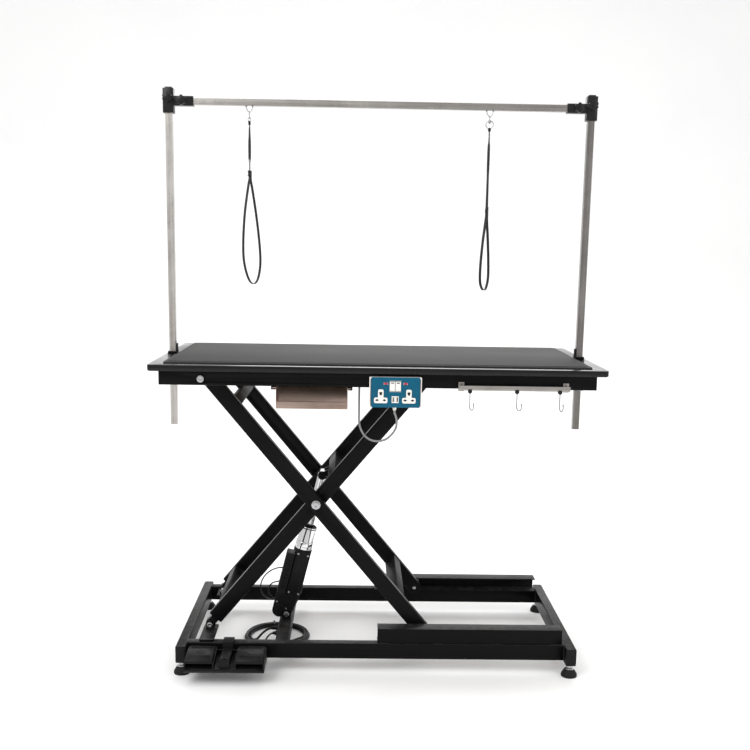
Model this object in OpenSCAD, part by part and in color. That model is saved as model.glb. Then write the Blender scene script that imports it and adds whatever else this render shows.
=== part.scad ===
// Electric scissor-lift grooming table.
// Two posts carry a crossbar with two grooming nooses, and a linear actuator lifts the top.
// Millimetres, +Z up, the long front side faces -Y.

/* [Table top] */
// overall length of the table top
top_len = 1250; // [1000:5:1400]
// overall depth of the table top
top_w = 620; // [520:5:700]
// width of the glossy border round the mat
rim_w = 37; // [20:1:50]
// thickness of the border
rim_t = 17; // [12:1:25]
// thickness of the ribbed rubber mat
mat_t = 8; // [3:0.5:10]
// height of the tubes under the top
sub_h = 40; // [30:1:50]
// wall-to-wall width of each tube under the top
sub_t = 25; // [20:1:30]

/* [Lift] */
// angle of the scissor arms above the floor
lift_angle = 50.16; // [18:0.01:54.5]
// pivot-to-pivot length of each arm
arm_len = 974.1; // [800:0.1:1100]
// depth of an arm tube, seen from the front
arm_h = 44; // [36:1:50]
// thickness of an arm tube, front to back
arm_t = 25; // [20:1:30]
// distance of the outer face of the outer arms from the centre plane
arm_out = 195; // [180:1:220]
// distance of the outer face of the inner arms from the centre plane
arm_in = 165; // [150:1:190]
// height of the lower pivots above the floor
pivot_z = 110; // [100:1:120]
// position of the fixed pivots along the table
pivot_x = -484; // [-520:1:-440]
// diameter of the pivot bolts
bolt_d = 12; // [10:1:14]
// diameter of the four rollers
roller_d = 37; // [30:0.5:37.5]

/* [Base] */
// left end of the base
base_x0 = -567; // [-600:1:-540]
// right end of the base
base_x1 = 583; // [540:1:620]
// half of the base's depth without its end plugs
base_y = 279; // [240:1:300]
// height of the base tubes
base_h = 50; // [40:1:60]
// height of the underside of the base end tubes
base_z = 37; // [30:1:45]

/* [Posts and crossbar] */
// side of the square stainless tubes
post_s = 20; // [18:0.5:25]
// distance of each post from the centre
post_x = 610; // [606:0.5:612]
// position of the posts across the table
post_y = 10; // [-20:1:40]
// height of the post's lower end below the pivot line of the top
post_low = 178; // [120:1:250]
// height of the top of the posts above the mat
post_up = 757; // [500:1:900]
// height of the crossbar's centre above the mat
bar_up = 719; // [450:1:850]

/* [Actuator] */
// lower pin of the actuator, along the table
act_x = -268; // [-280:1:-255]
// height of the lower pin
act_z = 92; // [88:1:100]
// outer diameter of the polished tube
act_tube_d = 50; // [46:1:54]
// diameter of the rod
act_rod_d = 26; // [20:1:28]
// distance from the lower pin to the mouth of the tube
act_mouth = 282; // [270:1:290]

/* [Fittings] */
// left edge of the tool tray
tray_x = -280; // [-300:1:-250]
// width of the tool tray
tray_w = 196; // [160:1:220]
// depth of the tool tray, front to back
tray_d = 76; // [60:1:80]
// left edge of the socket box
sock_x = -20; // [-40:1:0]
// width of the socket box
sock_w = 131; // [125:1:150]
// height of the socket box
sock_h = 82; // [76:1:90]
// centre of the foot pedal along the table
pedal_x = -420; // [-440:1:-400]

/* [Hidden] */
$fn = 48;

// colours
c_black = [0.12,0.12,0.13]; c_arm = [0.16,0.16,0.17]; c_steel = [0.78,0.78,0.79]; c_rubber = [0.06,0.06,0.06];
c_mat = [0.24,0.24,0.25]; c_rim = [0.03,0.03,0.035]; c_zinc = [0.7,0.71,0.73]; c_plastic = [0.09,0.09,0.1];
c_teal = [0.06,0.4,0.53]; c_white = [0.92,0.92,0.9]; c_web = [0.05,0.05,0.05];

// scissor geometry: the four ends lie on an exact rectangle
th = lift_angle;
top_z = pivot_z + arm_len*sin(th);          // pivot line of the top
roll_x = pivot_x + arm_len*cos(th);         // rollers, top and bottom
cx = (pivot_x+roll_x)/2; cz = (pivot_z+top_z)/2;
rail_z0 = top_z - 18; rail_z1 = rail_z0 + sub_h;   // tubes under the top
board_z = rail_z1; rim_z1 = board_z + rim_t; board_t = rim_t - 2; mat_z0 = board_z + board_t; mat_z1 = mat_z0 + mat_t;
sub_x = 598; sub_y = 286;
y_mid = (354-top_w/2)/2;                    // puts the origin under the middle of the whole outline
run = 0.05;                                 // radial clearance of a running fit
br = bolt_d/2;
long_z0 = 42; long_z1 = 88; ly1 = 254; ly0 = 224;
chan_h = 44; chan_t = 3; chan_z0 = pivot_z-chan_h/2;
bar_z = mat_z1 + bar_up; post_top = mat_z1 + post_up; post_bot = top_z - post_low;
hole_s = post_s + 0.8;
// actuator upper pin, fixed to the inner arms: along and across the arm from the centre bolt
pin_a = 43.7; pin_c = 21;
upx = cx + pin_a*cos(th) - pin_c*sin(th); upz = cz + pin_a*sin(th) + pin_c*cos(th);
act_ang = atan2(upz-act_z, upx-act_x);
act_len = sqrt(pow(upz-act_z,2)+pow(upx-act_x,2));

// rounded rectangle outline, w by h about the origin
function rr(w,h,r,n=3) = [for (q=[0:3], i=[0:n]) let(a=q*90+i*90/n, sx=(q==0||q==3)?1:-1, sy=(q<2)?1:-1)
  [sx*(w/2-r)+r*cos(a), sy*(h/2-r)+r*sin(a)]];
// rounded bar along X, from x0 to x1, centred on y0,z0
module bar_x(x0,x1,y0,z0,wy,wz,r=2) translate([x0,y0,z0]) rotate([90,0,90]) linear_extrude(x1-x0) polygon(rr(wy,wz,r));
module bar_y(y0,y1,x0,z0,wx,wz,r=2) translate([x0,y1,z0]) rotate([90,0,0]) linear_extrude(y1-y0) polygon(rr(wx,wz,r));
module bar_zz(z0,z1,x0,y0,wx,wy,r=2) translate([x0,y0,z0]) linear_extrude(z1-z0) polygon(rr(wx,wy,r));
module blk(x0,x1,y0,y1,z0,z1) translate([x0,y0,z0]) cube([x1-x0,y1-y0,z1-z0]);
module cyl_y(x,z,y0,y1,r) translate([x,y0,z]) rotate([-90,0,0]) cylinder(r=r,h=y1-y0);
module cyl_x(x0,x1,y,z,r) translate([x0,y,z]) rotate([0,90,0]) cylinder(r=r,h=x1-x0);
module hex_y(x,z,y0,y1,af) translate([x,y0,z]) rotate([-90,0,0]) cylinder(r=af/2/cos(30),h=y1-y0,$fn=6);
// local frame: X along a line at angle a in the XZ plane
module on_line(x,z,a) translate([x,0,z]) rotate([0,-a,0]) children();
module place() translate([0,y_mid,0]) children();
module both() { children(); mirror([0,1,0]) children(); }
// bolt head with a socket, on a face looking to -Y
module head(x,z,y,r=9,t=6) difference() { cyl_y(x,z,y-t,y,r); hex_y(x,z,y-t-1,y-t/2,7); }

// ---------- base ----------
module long_rail(s) color(c_arm) difference() {
  bar_x(base_x0+30,base_x1-30,s*(ly0+ly1)/2,(long_z0+long_z1)/2,ly1-ly0,long_z1-long_z0,3);
  bar_x(base_x0+29,base_x1-29,s*(ly0+ly1)/2,(long_z0+long_z1)/2,ly1-ly0-5,long_z1-long_z0-5,1.5);
}
module base_long_rails() place() { long_rail(-1); long_rail(1); }
module base_end_rails() place() color(c_arm) for (x=[base_x0+15,base_x1-15]) difference() {
  bar_y(-base_y,base_y,x,base_z+base_h/2,30,base_h,3);
  bar_y(-base_y-1,base_y+1,x,base_z+base_h/2,25,base_h-5,1.5);
  for (s=[-1,1]) translate([x,s*262,base_z-1]) cylinder(r=5,h=26);
}
module base_end_plugs() place() color(c_plastic) for (x=[base_x0+15,base_x1-15], s=[-1,1])
  bar_y(s>0?base_y:-base_y-3, s>0?base_y+3:-base_y, x, base_z+base_h/2, 30, base_h, 4);
module channel(x0,x1,yo,yi,z0,h) difference() { blk(x0,x1,yo,yi,z0,z0+h); blk(x0-1,x1+1,yo+chan_t,yi+1,z0+chan_t,z0+h-chan_t); }
module base_channels() place() color(c_arm) both() channel(10,546,-250,-205,chan_z0,chan_h);
module base_cross_tube() place() color(c_arm) {
  bar_y(-ly0,ly0,act_x-2,57,40,30,3);
  for (y=[-60,-100]) { cyl_x(act_x-30,act_x-21,y,57,6); cyl_x(act_x-26,act_x-21,y,57,8); }
  for (s=[-1,1]) difference() {
    union() { cyl_y(act_x,act_z,s*29-3,s*29+3,13); blk(act_x-13,act_x+13,s*29-3,s*29+3,72,act_z); }
    cyl_y(act_x,act_z,s*29-4,s*29+4,br);
  }
}
module base_brackets() place() color(c_black) both() {
  bar_zz(long_z1,long_z1+6,pivot_x,-186,42,124,6);
  for (y=[-172,-136]) difference() {
    union() { blk(pivot_x-11,pivot_x+11,y,y+6,long_z1+6,pivot_z); cyl_y(pivot_x,pivot_z,y,y+6,11); }
    cyl_y(pivot_x,pivot_z,y-1,y+7,br);
  }
}
module base_pins() place() color(c_zinc) {
  both() {
    head(pivot_x,pivot_z,-172,8.5,6);
    cyl_y(pivot_x,pivot_z,-172,-129,br);
    hex_y(pivot_x,pivot_z,-130,-122,16);
  }
  cyl_y(act_x,act_z,-32,32,br); cyl_y(act_x,act_z,-35,-32,8.5); cyl_y(act_x,act_z,32,35,8.5);
}
module feet() place() for (x=[base_x0+15,base_x1-15], s=[-1,1]) translate([x,s*262,0]) {
  color(c_rubber) { cylinder(r=23,h=7); translate([0,0,7]) cylinder(r1=23,r2=14,h=15); }
  color(c_zinc) { translate([0,0,22]) cylinder(r=11,h=2); translate([0,0,24]) cylinder(r=5,h=34); translate([0,0,27]) cylinder(r=10,h=8,$fn=6); }
}

// ---------- foot pedal, hooked on the front rail ----------
px0 = pedal_x-112; px1 = pedal_x+112; tw = 75;
module treadle(x0) color(c_plastic) difference() {
  union() {
    translate([x0,-256.5,0]) rotate([90,0,90]) linear_extrude(tw) polygon([[0,70],[0,79],[-6,82],[-82,78],[-90,72],[-92,64],[-88,62.5],[-30,66]]);
    cyl_x(x0,x0+tw,-261,69,5);
  }
  cyl_x(x0-1,x0+tw+1,-261,69,2.5+run);
}
module pedal_base() place() color(c_plastic) {
  difference() {
    translate([px0,0,0]) rotate([90,0,90]) linear_extrude(px1-px0) polygon([[-254,40],[-254,60],[-266,58],[-344,47],[-352,45],[-354,42],[-350,38],[-260,38]]);
  }
  // cheeks beside the treadles and the post between them
  for (x=[px0,px0+3+tw+1,px1-3-tw-1-4,px1-3]) let(w=(x==px0||x==px1-3)?3:4) difference() {
    translate([x,0,0]) rotate([90,0,90]) linear_extrude(w) polygon([[-254,56],[-254,78],[-275,78],[-346,66],[-350,60],[-350,44],[-300,48]]);
  }
  cyl_x(px0+1,px1-1,-261,69,2.5);
  bar_y(-344,-256,pedal_x,60,30,26,4);
  // hook over the rail
  blk(pedal_x-15,pedal_x+15,-258,-254,52,92); blk(pedal_x-15,pedal_x+15,-258,-220,88,92); blk(pedal_x-15,pedal_x+15,-224,-220,68,92);
}
module pedal_left() place() treadle(px0+3.5);
module pedal_right() place() treadle(px1-3.5-tw);

// ---------- scissor ----------
// hollow rectangular tube with rounded ends and a welded bush at each pivot
module arm(x0,x1,y0,y1,round0,bushes) {
  difference() {
    union() {
      translate([x0,(y0+y1)/2,0]) rotate([90,0,90]) linear_extrude(x1-x0) polygon(rr(y1-y0,arm_h,3));
      if (round0) cyl_y(x0,0,y0,y1,arm_h/2);
      cyl_y(x1,0,y0,y1,arm_h/2);
    }
    translate([x0+(round0?14:-1),(y0+y1)/2,0]) rotate([90,0,90]) linear_extrude(x1-x0-14-(round0?14:-1)) polygon(rr(y1-y0-5,arm_h-5,1.2));
    if (round0) cyl_y(x0+70,-8,y1-4,y1+1,3);
  }
  for (b=bushes) cyl_y(b,0,y0,y1,12);
}
module outer_arms() place() color(c_arm) both() on_line(pivot_x,top_z,-th) difference() {
  arm(0,arm_len,-arm_out,-arm_out+arm_t,true,[arm_len/2]);
  cyl_y(0,0,-arm_out-1,-arm_out+arm_t+1,br+run);
  cyl_y(arm_len/2,0,-arm_out-1,-arm_out+arm_t+1,br);
  cyl_y(arm_len,0,-arm_out-1,-arm_out+arm_t+1,br);
}
module outer_ties() place() color(c_arm) on_line(pivot_x,top_z,-th) for (s=[115,arm_len-115]) difference() {
  bar_y(-arm_out+arm_t,arm_out-arm_t,s,0,30,40,3);
  bar_y(-arm_out+arm_t-1,arm_out-arm_t+1,s,0,25,35,1.2);
}
module outer_bolts() place() color(c_zinc) both() {
  head(cx,cz,-arm_out-0.5,10,6.5);
  cyl_y(cx,cz,-arm_out-0.5,-131,br);
  cyl_y(cx,cz,-arm_out-0.5,-arm_out,13);
  cyl_y(cx,cz,-arm_out+arm_t,-arm_in-0.4,14);
  hex_y(cx,cz,-139.6,-131,18);
  cyl_y(roll_x,pivot_z,-240,-arm_out+arm_t-1,br);
  cyl_y(roll_x,pivot_z,-241.5,-238.5,10);
  cyl_y(roll_x,pivot_z,-arm_out-7,-arm_out,10);
}
module roller(z,y0,y1) difference() {
  union() { cyl_y(roll_x,z,y0,y1,roller_d/2-1); cyl_y(roll_x,z,y0+2,y1-2,roller_d/2); }
  cyl_y(roll_x,z,y0-1,y1+1,br+run);
}
module lower_rollers() place() color(c_white) both() roller(pivot_z,-238,-202.5);
module inner_arms() place() color(c_arm) both() on_line(pivot_x,pivot_z,th) difference() {
  union() {
    arm(24,arm_len,-arm_in,-arm_in+arm_t,false,[arm_len/2]);
    cyl_y(0,0,-163,-141,13.5); blk(0,40,-162.5,-142.5,-12,12);
  }
  cyl_y(0,0,-164,-140,br+run);
  cyl_y(arm_len/2,0,-arm_in-1,-arm_in+arm_t+1,br+run);
  cyl_y(arm_len,0,-arm_in-1,-arm_in+arm_t+1,br);
}
tie_s = 86;
module inner_ties() place() color(c_arm) on_line(pivot_x,pivot_z,th) {
  for (q=[72,arm_len/2+tie_s]) difference() {
    bar_y(-arm_in+arm_t,arm_in-arm_t,q,1,30,40,3);
    bar_y(-arm_in+arm_t-1,arm_in-arm_t+1,q,1,25,35,1.2);
  }
}
module actuator_lug() place() color(c_black) on_line(cx,cz,th) {
  for (s=[-1,1]) difference() {
    union() {
      cyl_y(pin_a,pin_c,s*21-3,s*21+3,13);
      translate([0,s*21+3,0]) rotate([90,0,0]) linear_extrude(6) polygon([[pin_a-4,pin_c+12.3],[tie_s-15,19],[tie_s-15,-10],[pin_a+8,pin_c-10.2],[pin_a-8,pin_c-10.2]]);
    }
    cyl_y(pin_a,pin_c,s*21-4,s*21+4,br);
  }
  cyl_y(pin_a,pin_c,-27,27,br);
  cyl_y(pin_a,pin_c,-29,-27,8.5); cyl_y(pin_a,pin_c,27,29,8.5);
}
module upper_axles() place() color(c_zinc) both() {
  cyl_y(roll_x,top_z,-200,-arm_in+arm_t-1,br);
  cyl_y(roll_x,top_z,-201.5,-199,10);
  cyl_y(roll_x,top_z,-171,-arm_in,10);
}
module upper_rollers() place() color(c_white) both() roller(top_z,-198.5,-171.5);

// ---------- actuator ----------
module gearbox() difference() {
  union() {
    cyl_y(0,0,-25.5,25.5,15);
    translate([0,25.5,0]) rotate([90,0,0]) linear_extrude(51) polygon([[4,-15],[62,-27],[62,46],[20,46],[-6,40],[-13,26],[-12,8]]);
    cyl_y(4,24,-24,24,22);
  }
  cyl_y(0,0,-26,26,br+run);
  for (z=[-12,2,16,30]) translate([40,-26.5,z]) cube([14,4,5]);
}
module actuator_body() place() color(c_plastic) on_line(act_x,act_z,act_ang) { gearbox(); drive_case(); }
module drive_case() difference() {
  union() {
    translate([62,0,-5]) rotate([90,0,90]) linear_extrude(143) polygon(rr(56,44,6));
    translate([62,0,31.5]) rotate([90,0,90]) linear_extrude(128) polygon(rr(48,29,5));
    translate([200,0,0]) rotate([0,90,0]) cylinder(r=28,h=10);
  }
  for (i=[0:6]) translate([74+i*15,-25,24]) cube([9,5,14]);
  translate([128,0,0]) rotate([0,90,0]) cylinder(r=22.5,h=90);
}
module actuator_tube() place() color(c_steel) on_line(act_x,act_z,act_ang) translate([210,0,0]) rotate([0,90,0]) difference() {
  union() { cylinder(r=act_tube_d/2,h=act_mouth-210); cylinder(r=act_tube_d/2+1.5,h=5); }
  translate([0,0,-1]) cylinder(r=23,h=100);
}
module actuator_rod() place() color(c_steel) on_line(upx,upz,act_ang+180) difference() {
  union() {
    translate([12,0,0]) rotate([0,90,0]) cylinder(r=act_rod_d/2,h=196);
    cyl_y(0,0,-17,17,13.5); translate([4,0,0]) rotate([0,90,0]) cylinder(r=12,h=12);
  }
  cyl_y(0,0,-18,18,br+run);
}

// ---------- table top ----------
module table_board() place() color([0.35,0.27,0.2]) blk(-top_len/2+rim_w,top_len/2-rim_w,-top_w/2+rim_w,top_w/2-rim_w,board_z,mat_z0);
module table_rim() place() color(c_rim) difference() {
  union() {
    translate([0,0,board_z+2]) linear_extrude(rim_t-2) polygon(rr(top_len,top_w,10,4));
    translate([0,0,board_z]) linear_extrude(2) polygon(rr(top_len-4,top_w-4,8,4));
  }
  blk(-top_len/2+rim_w,top_len/2-rim_w,-top_w/2+rim_w,top_w/2-rim_w,board_z-1,rim_z1+1);
  for (s=[-1,1]) translate([s*post_x-hole_s/2,post_y-hole_s/2,board_z-1]) cube([hole_s,hole_s,rim_t+2]);
}
module mat() place() color(c_mat) {
  translate([0,0,mat_z0]) linear_extrude(mat_t-1.5) polygon(rr(top_len-2*rim_w-1,top_w-2*rim_w-1,6));
  translate([0,0,mat_z1-1.5]) linear_extrude(1.5) polygon(rr(top_len-2*rim_w-24,top_w-2*rim_w-24,6));
}
module sub_frame_rails() place() color(c_arm) both() difference() {
  union() {
    difference() {
      bar_x(-sub_x,sub_x,-sub_y+sub_t/2,rail_z0+sub_h/2,sub_t,sub_h,2.5);
      bar_x(-sub_x-1,sub_x+1,-sub_y+sub_t/2,rail_z0+sub_h/2,sub_t-5,sub_h-5,1.2);
    }
    for (x=[-sub_x,sub_x-3]) bar_x(x,x+3,-sub_y+sub_t/2,rail_z0+sub_h/2,sub_t-4,sub_h-4,1);
    cyl_y(pivot_x,top_z,-sub_y+1,-sub_y+sub_t-1,11);
  }
  for (x=[-sub_x+40,sub_x-40]) translate([x,-sub_y+sub_t/2,rail_z0-1]) cylinder(r=3,h=6);
  cyl_y(pivot_x,top_z,-sub_y-1,-sub_y+sub_t+1,br);
}
module sub_frame_ends() place() color(c_arm) for (x=[-sub_x+sub_t/2,-532,512.5,sub_x-sub_t/2]) difference() {
  bar_y(-sub_y+sub_t,sub_y-sub_t,x,rail_z0+sub_h/2,sub_t,sub_h,2.5);
  bar_y(-sub_y+sub_t-1,sub_y-sub_t+1,x,rail_z0+sub_h/2,sub_t-5,sub_h-5,1.2);
}
module top_channels() place() color(c_arm) both() channel(10,500,-206,-169,top_z-chan_h/2,chan_h);
module top_pivot_bolts() place() color(c_zinc) both() {
  head(pivot_x,top_z,-sub_y,9.5,6);
  cyl_y(pivot_x,top_z,-sub_y,-160,br);
  cyl_y(pivot_x,top_z,-sub_y+sub_t,-arm_out-0.4,11);
  hex_y(pivot_x,top_z,-arm_out+arm_t+0.4,-161,18);
}

// ---------- tool tray ----------
tz1 = rail_z0-2; tz0 = tz1-59;
module tray_runners() place() color(c_arm) for (s=[-1,1]) let(xc=tray_x+tray_w/2, h=tray_w/2) {
  translate([xc,0,0]) scale([s,1,1]) difference() {
    blk(h+1,h+13,-sub_y,-sub_y+tray_d+4,rail_z0-9,rail_z0);
    blk(h,h+11,-sub_y-1,-sub_y+tray_d+5,rail_z0-7,rail_z0-1.5);
  }
}
module tool_tray() place() color(c_steel) {
  x0=tray_x; x1=tray_x+tray_w; y0=-sub_y-2; y1=-sub_y+tray_d;
  blk(x0,x1,y0,y1,tz0,tz0+1.5);
  blk(x0,x0+1.5,y0,y1,tz0,rail_z0-3.5); blk(x1-1.5,x1,y0,y1,tz0,rail_z0-3.5);
  blk(x0,x1,y1-1.5,y1,tz0,tz0+55); blk(x0,x1,y0,y0+1.5,tz0,tz0+18);
  blk(x0,x1,y0,y0+5,tz0+18,tz0+19.5);
  for (x=[x0-10,x1-1.5]) blk(x,x+11.5,y0+3,y1,rail_z0-5.5,rail_z0-3.5);
}

// ---------- socket box ----------
sz0 = top_z-67; sz1 = sz0+sock_h; sy = -sub_y-34; sxc = sock_x+sock_w/2; szc=(sz0+sz1)/2;
module socket_box() place() color(c_white) difference() {
  translate([sxc,-sub_y,szc]) rotate([90,0,0]) linear_extrude(30) polygon(rr(sock_w+10.5,sock_h-1,2));
  translate([sxc,-sub_y-8,szc]) rotate([90,0,0]) linear_extrude(30) polygon(rr(sock_w+4.5,sock_h-8,1.5));
}
// universal outlets on inverted-T inserts, earth hole at the top
outx = [sxc-39.8,sxc+36.2]; tz = sz0+12;
module tee(x,g,y0,y1) translate([x,y1,0]) rotate([90,0,0]) {
  translate([0,tz+7.6]) linear_extrude(y1-y0) polygon(rr(36.5+2*g,15.2+2*g,4));
  translate([0,tz+18.75]) linear_extrude(y1-y0) polygon(rr(14.8+2*g,37.5+2*g,4));
}
rkx = [sxc-8.9,sxc+6.9]; rkz = sz0+58;
module socket_panel() place() color(c_teal) difference() {
  translate([sxc,-sub_y-30,szc]) rotate([90,0,0]) linear_extrude(4) polygon(rr(sock_w,sock_h,1.5));
  for (x=outx) tee(x,0.2,sy-1,-sub_y);
  for (x=rkx) blk(x-7.6,x+7.6,sy-1,-sub_y,rkz-14.4,rkz+14.4);
  blk(sxc-10.5,sxc+8.9,sy-1,-sub_y,sz0+12.8,sz0+31.2);
}
module outlet(x) difference() {
  union() { tee(x,0,sy-1.5,sy+4); blk(x-16,x+16,sy+4,-sub_y-8,tz-1,tz+38); }
  for (s=[-1,1]) { cyl_y(x+s*10,tz+8,sy-3,sy+12,3); blk(x+s*10-4.5,x+s*10+4.5,sy-3,sy+12,tz+6.6,tz+9.4); }
  blk(x-3.2,x+3.2,sy-3,sy+12,tz+21.5,tz+30.5); blk(x-4.5,x+4.5,sy-3,sy+12,tz+26.5,tz+29.5);
}
module socket_outlets() place() {
  color(c_white) for (x=outx) outlet(x);
  color(c_white) difference() {
    blk(sxc-10.3,sxc+8.7,sy-1,-sub_y-8,sz0+13,sz0+31);
    for (x=[sxc-5.9,sxc+4.3]) blk(x-2.8,x+2.8,sy-2,sy+9,sz0+15.5,sz0+28.5);
  }
  color([0.75,0.05,0.04]) for (x=[sxc-26.7,sxc+26.7]) blk(x-6,x+6,sy-1.2,sy,sz0+62.7,sz0+67.9);
}
module rocker(x) color(c_white) difference() {
  union() {
    translate([x-7.2,0,rkz]) rotate([90,0,90]) linear_extrude(14.4) polygon([[sy-4.5,12.2],[sy-1.5,0],[sy-2,-12.2],[sy+3,-12.2],[sy+7,0],[sy+3,12.2]]);
    cyl_x(x-7.2,x+7.2,sy+5,rkz,3.5);
  }
}
module rocker_left() place() rocker(rkx[0]);
module rocker_right() place() rocker(rkx[1]);

// ---------- hook rail ----------
hx0 = 218; hx1 = 521; hz1 = top_z-6; hz0 = hz1-13; hy = -sub_y-20;
module hook_rail() place() color(c_zinc) {
  for (x=[hx0,hx1-16]) {
    blk(x,x+16,-sub_y-3,-sub_y,top_z-24,top_z+1);
    bar_y(hy,-sub_y-3,x+8,(hz0+hz1)/2,12,13,3);
    head(x+8,top_z-2.2,-sub_y-3,3,2);
  }
  blk(hx0,hx1,hy-4,hy,hz0,hz1);
}
module rail_hook(x) color(c_zinc) translate([x-5,0,0]) rotate([90,0,90]) linear_extrude(10) polygon([
  [hy+3.5,hz1-12],[hy+3.5,hz1+3.5],[hy-8,hz1+3.5],[hy-8,hz1-50],[hy-11,hz1-60],[hy-20,hz1-64],[hy-28,hz1-59],[hy-30,hz1-50],
  [hy-33,hz1-50],[hy-31,hz1-61],[hy-21,hz1-67.5],[hy-9,hz1-63],[hy-4.7,hz1-51],[hy-4.7,hz1+0.7],[hy+0.7,hz1+0.7],[hy+0.7,hz1-12]]);
module rail_hook_a() place() rail_hook(248);
module rail_hook_b() place() rail_hook(376);
module rail_hook_c() place() rail_hook(493);

// ---------- posts ----------
module post_holders() place() color(c_plastic) for (s=[-1,1]) scale([s,1,1]) {
  difference() {
    union() {
      blk(sub_x,post_x+13.5,post_y-16,post_y+16,rail_z0,rail_z1);
      blk(post_x-14,post_x+14,post_y-15,post_y+15,rim_z1,rim_z1+5);
      blk(post_x-14,post_x-10.8,post_y-8,post_y+8,rim_z1,rim_z1+28);
    }
    translate([post_x-hole_s/2,post_y-hole_s/2,rail_z0-1]) cube([hole_s,hole_s,100]);
    cyl_x(post_x+5,post_x+20,post_y,top_z,4+run);
  }
}
module knob_star(r,h) { cylinder(r=r*0.62,h=h*0.35); translate([0,0,h*0.3]) difference() {
  cylinder(r=r,h=h*0.7); for (i=[0:5]) rotate(i*60) translate([r*1.12,0,-1]) cylinder(r=r*0.3,h=h); } }
module holder_knob(s) color(c_plastic) {
  translate([s*(post_x+14),post_y,top_z]) rotate([0,s*90,0]) { knob_star(15,18); }
  translate([s*(post_x+11),post_y,top_z]) rotate([0,s*90,0]) cylinder(r=4,h=5);
}
module holder_knob_left() place() holder_knob(-1);
module holder_knob_right() place() holder_knob(1);
module posts() place() for (s=[-1,1]) translate([s*post_x,post_y,0]) {
  color(c_steel) difference() {
    translate([0,0,post_bot+3]) linear_extrude(post_top-post_bot-6) polygon(rr(post_s,post_s,1.5));
    translate([0,0,post_bot+2]) linear_extrude(post_top-post_bot) polygon(rr(post_s-3,post_s-3,0.8));
  }
  color(c_plastic) { translate([0,0,post_bot]) linear_extrude(3) polygon(rr(post_s,post_s,1.5)); translate([0,0,post_top-3]) linear_extrude(3) polygon(rr(post_s,post_s,1.5)); }
}
clx = post_x-15.5;   // inner face of each upright sleeve
module crossbar() place() color(c_steel) difference() {
  translate([-clx,post_y,bar_z]) rotate([90,0,90]) linear_extrude(2*clx) polygon(rr(post_s,post_s,1.5));
  translate([-clx-1,post_y,bar_z]) rotate([90,0,90]) linear_extrude(2*clx+2) polygon(rr(post_s-3,post_s-3,0.8));
}
module clamps() place() color(c_plastic) for (s=[-1,1]) scale([s,1,1]) difference() {
  union() {
    bar_zz(bar_z-34,bar_z+34,post_x,post_y,31,31,3);
    translate([clx-56,post_y,bar_z]) rotate([90,0,90]) linear_extrude(56.5) polygon(rr(27,27,3));
    cyl_y(post_x,bar_z+6,post_y-18.5,post_y-10,7);
    cyl_y(post_x-40,bar_z,post_y-17,post_y-10,7);
  }
  translate([post_x-hole_s/2,post_y-hole_s/2,bar_z-40]) cube([hole_s,hole_s,80]);
  translate([clx-60,post_y,bar_z]) rotate([90,0,90]) linear_extrude(60) polygon(rr(post_s,post_s,1.5));
  cyl_y(post_x,bar_z+6,post_y-20,post_y-5,3+run); cyl_y(post_x-40,bar_z,post_y-20,post_y-9.9,3+run);
}
module clamp_knob(x,y,z) color(c_plastic) translate([x,y,z]) rotate([90,0,0]) { knob_star(14,15); translate([0,0,-6]) cylinder(r=3,h=7); }
module post_knob_left() place() clamp_knob(-post_x,post_y-19,bar_z+6);
module post_knob_right() place() clamp_knob(post_x,post_y-19,bar_z+6);
module bar_knob_left() place() clamp_knob(-post_x+40,post_y-17.5,bar_z);
module bar_knob_right() place() clamp_knob(post_x-40,post_y-17.5,bar_z);

// ---------- soft lines ----------
function unit(v) = v/norm(v);
function catmull(a,b,c,d,t) = 0.5*((2*b)+(c-a)*t+(2*a-5*b+4*c-d)*t*t+(3*b-a-3*c+d)*t*t*t);
// smooth curve through the points, n steps per span
function curve(p,n) = [for (i=[0:len(p)-2], k=[0:n-1]) catmull(p[max(i-1,0)],p[i],p[i+1],p[min(i+2,len(p)-1)],k/n), p[len(p)-1]];
function tangents(p) = [for (i=[0:len(p)-1]) unit(p[min(i+1,len(p)-1)]-p[max(i-1,0)])];
function carry(t,i,u,acc=[]) = i==len(t) ? acc : let(v=unit(u-(u*t[i])*t[i])) carry(t,i+1,v,concat(acc,[v]));
// tube along points, a and b are the half width and half thickness, u0 the first direction of the width
module tube(p,a,b,u0,n=8) {
  t = tangents(p); u = carry(t,0,u0); m = len(p);
  pts = [for (i=[0:m-1], j=[0:n-1]) let(v=cross(t[i],u[i])) p[i]+a*cos(j*360/n)*u[i]+b*sin(j*360/n)*v];
  polyhedron(pts, concat([[for (j=[0:n-1]) j]],
    [for (i=[0:m-2], j=[0:n-1]) [i*n+j,(i+1)*n+j,(i+1)*n+(j+1)%n,i*n+(j+1)%n]],
    [[for (j=[n-1:-1:0]) (m-1)*n+j]]));
}
nlx = -379; nrx = 316; eye_z = bar_z-21;
// bored lug welded under the crossbar
module noose_hook(x) color(c_zinc) difference() {
  union() { cyl_y(x,eye_z-7,post_y-1.5,post_y+1.5,6.5); blk(x-4.5,x+4.5,post_y-1.5,post_y+1.5,eye_z-7,bar_z-10); }
  cyl_y(x,eye_z-7,post_y-2,post_y+2,2.5+run);
}
module noose_hook_left() place() noose_hook(nlx);
module noose_hook_right() place() noose_hook(nrx);
// the loop plane is turned so that the webbing shows its width to the front
nb = 62; nt = [cos(nb),sin(nb),0]; nw = [-sin(nb),cos(nb),0];
function noose_pt(x,q) = [x,post_y,eye_z]+q[0]*nt+[0,0,q[1]];
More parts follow.
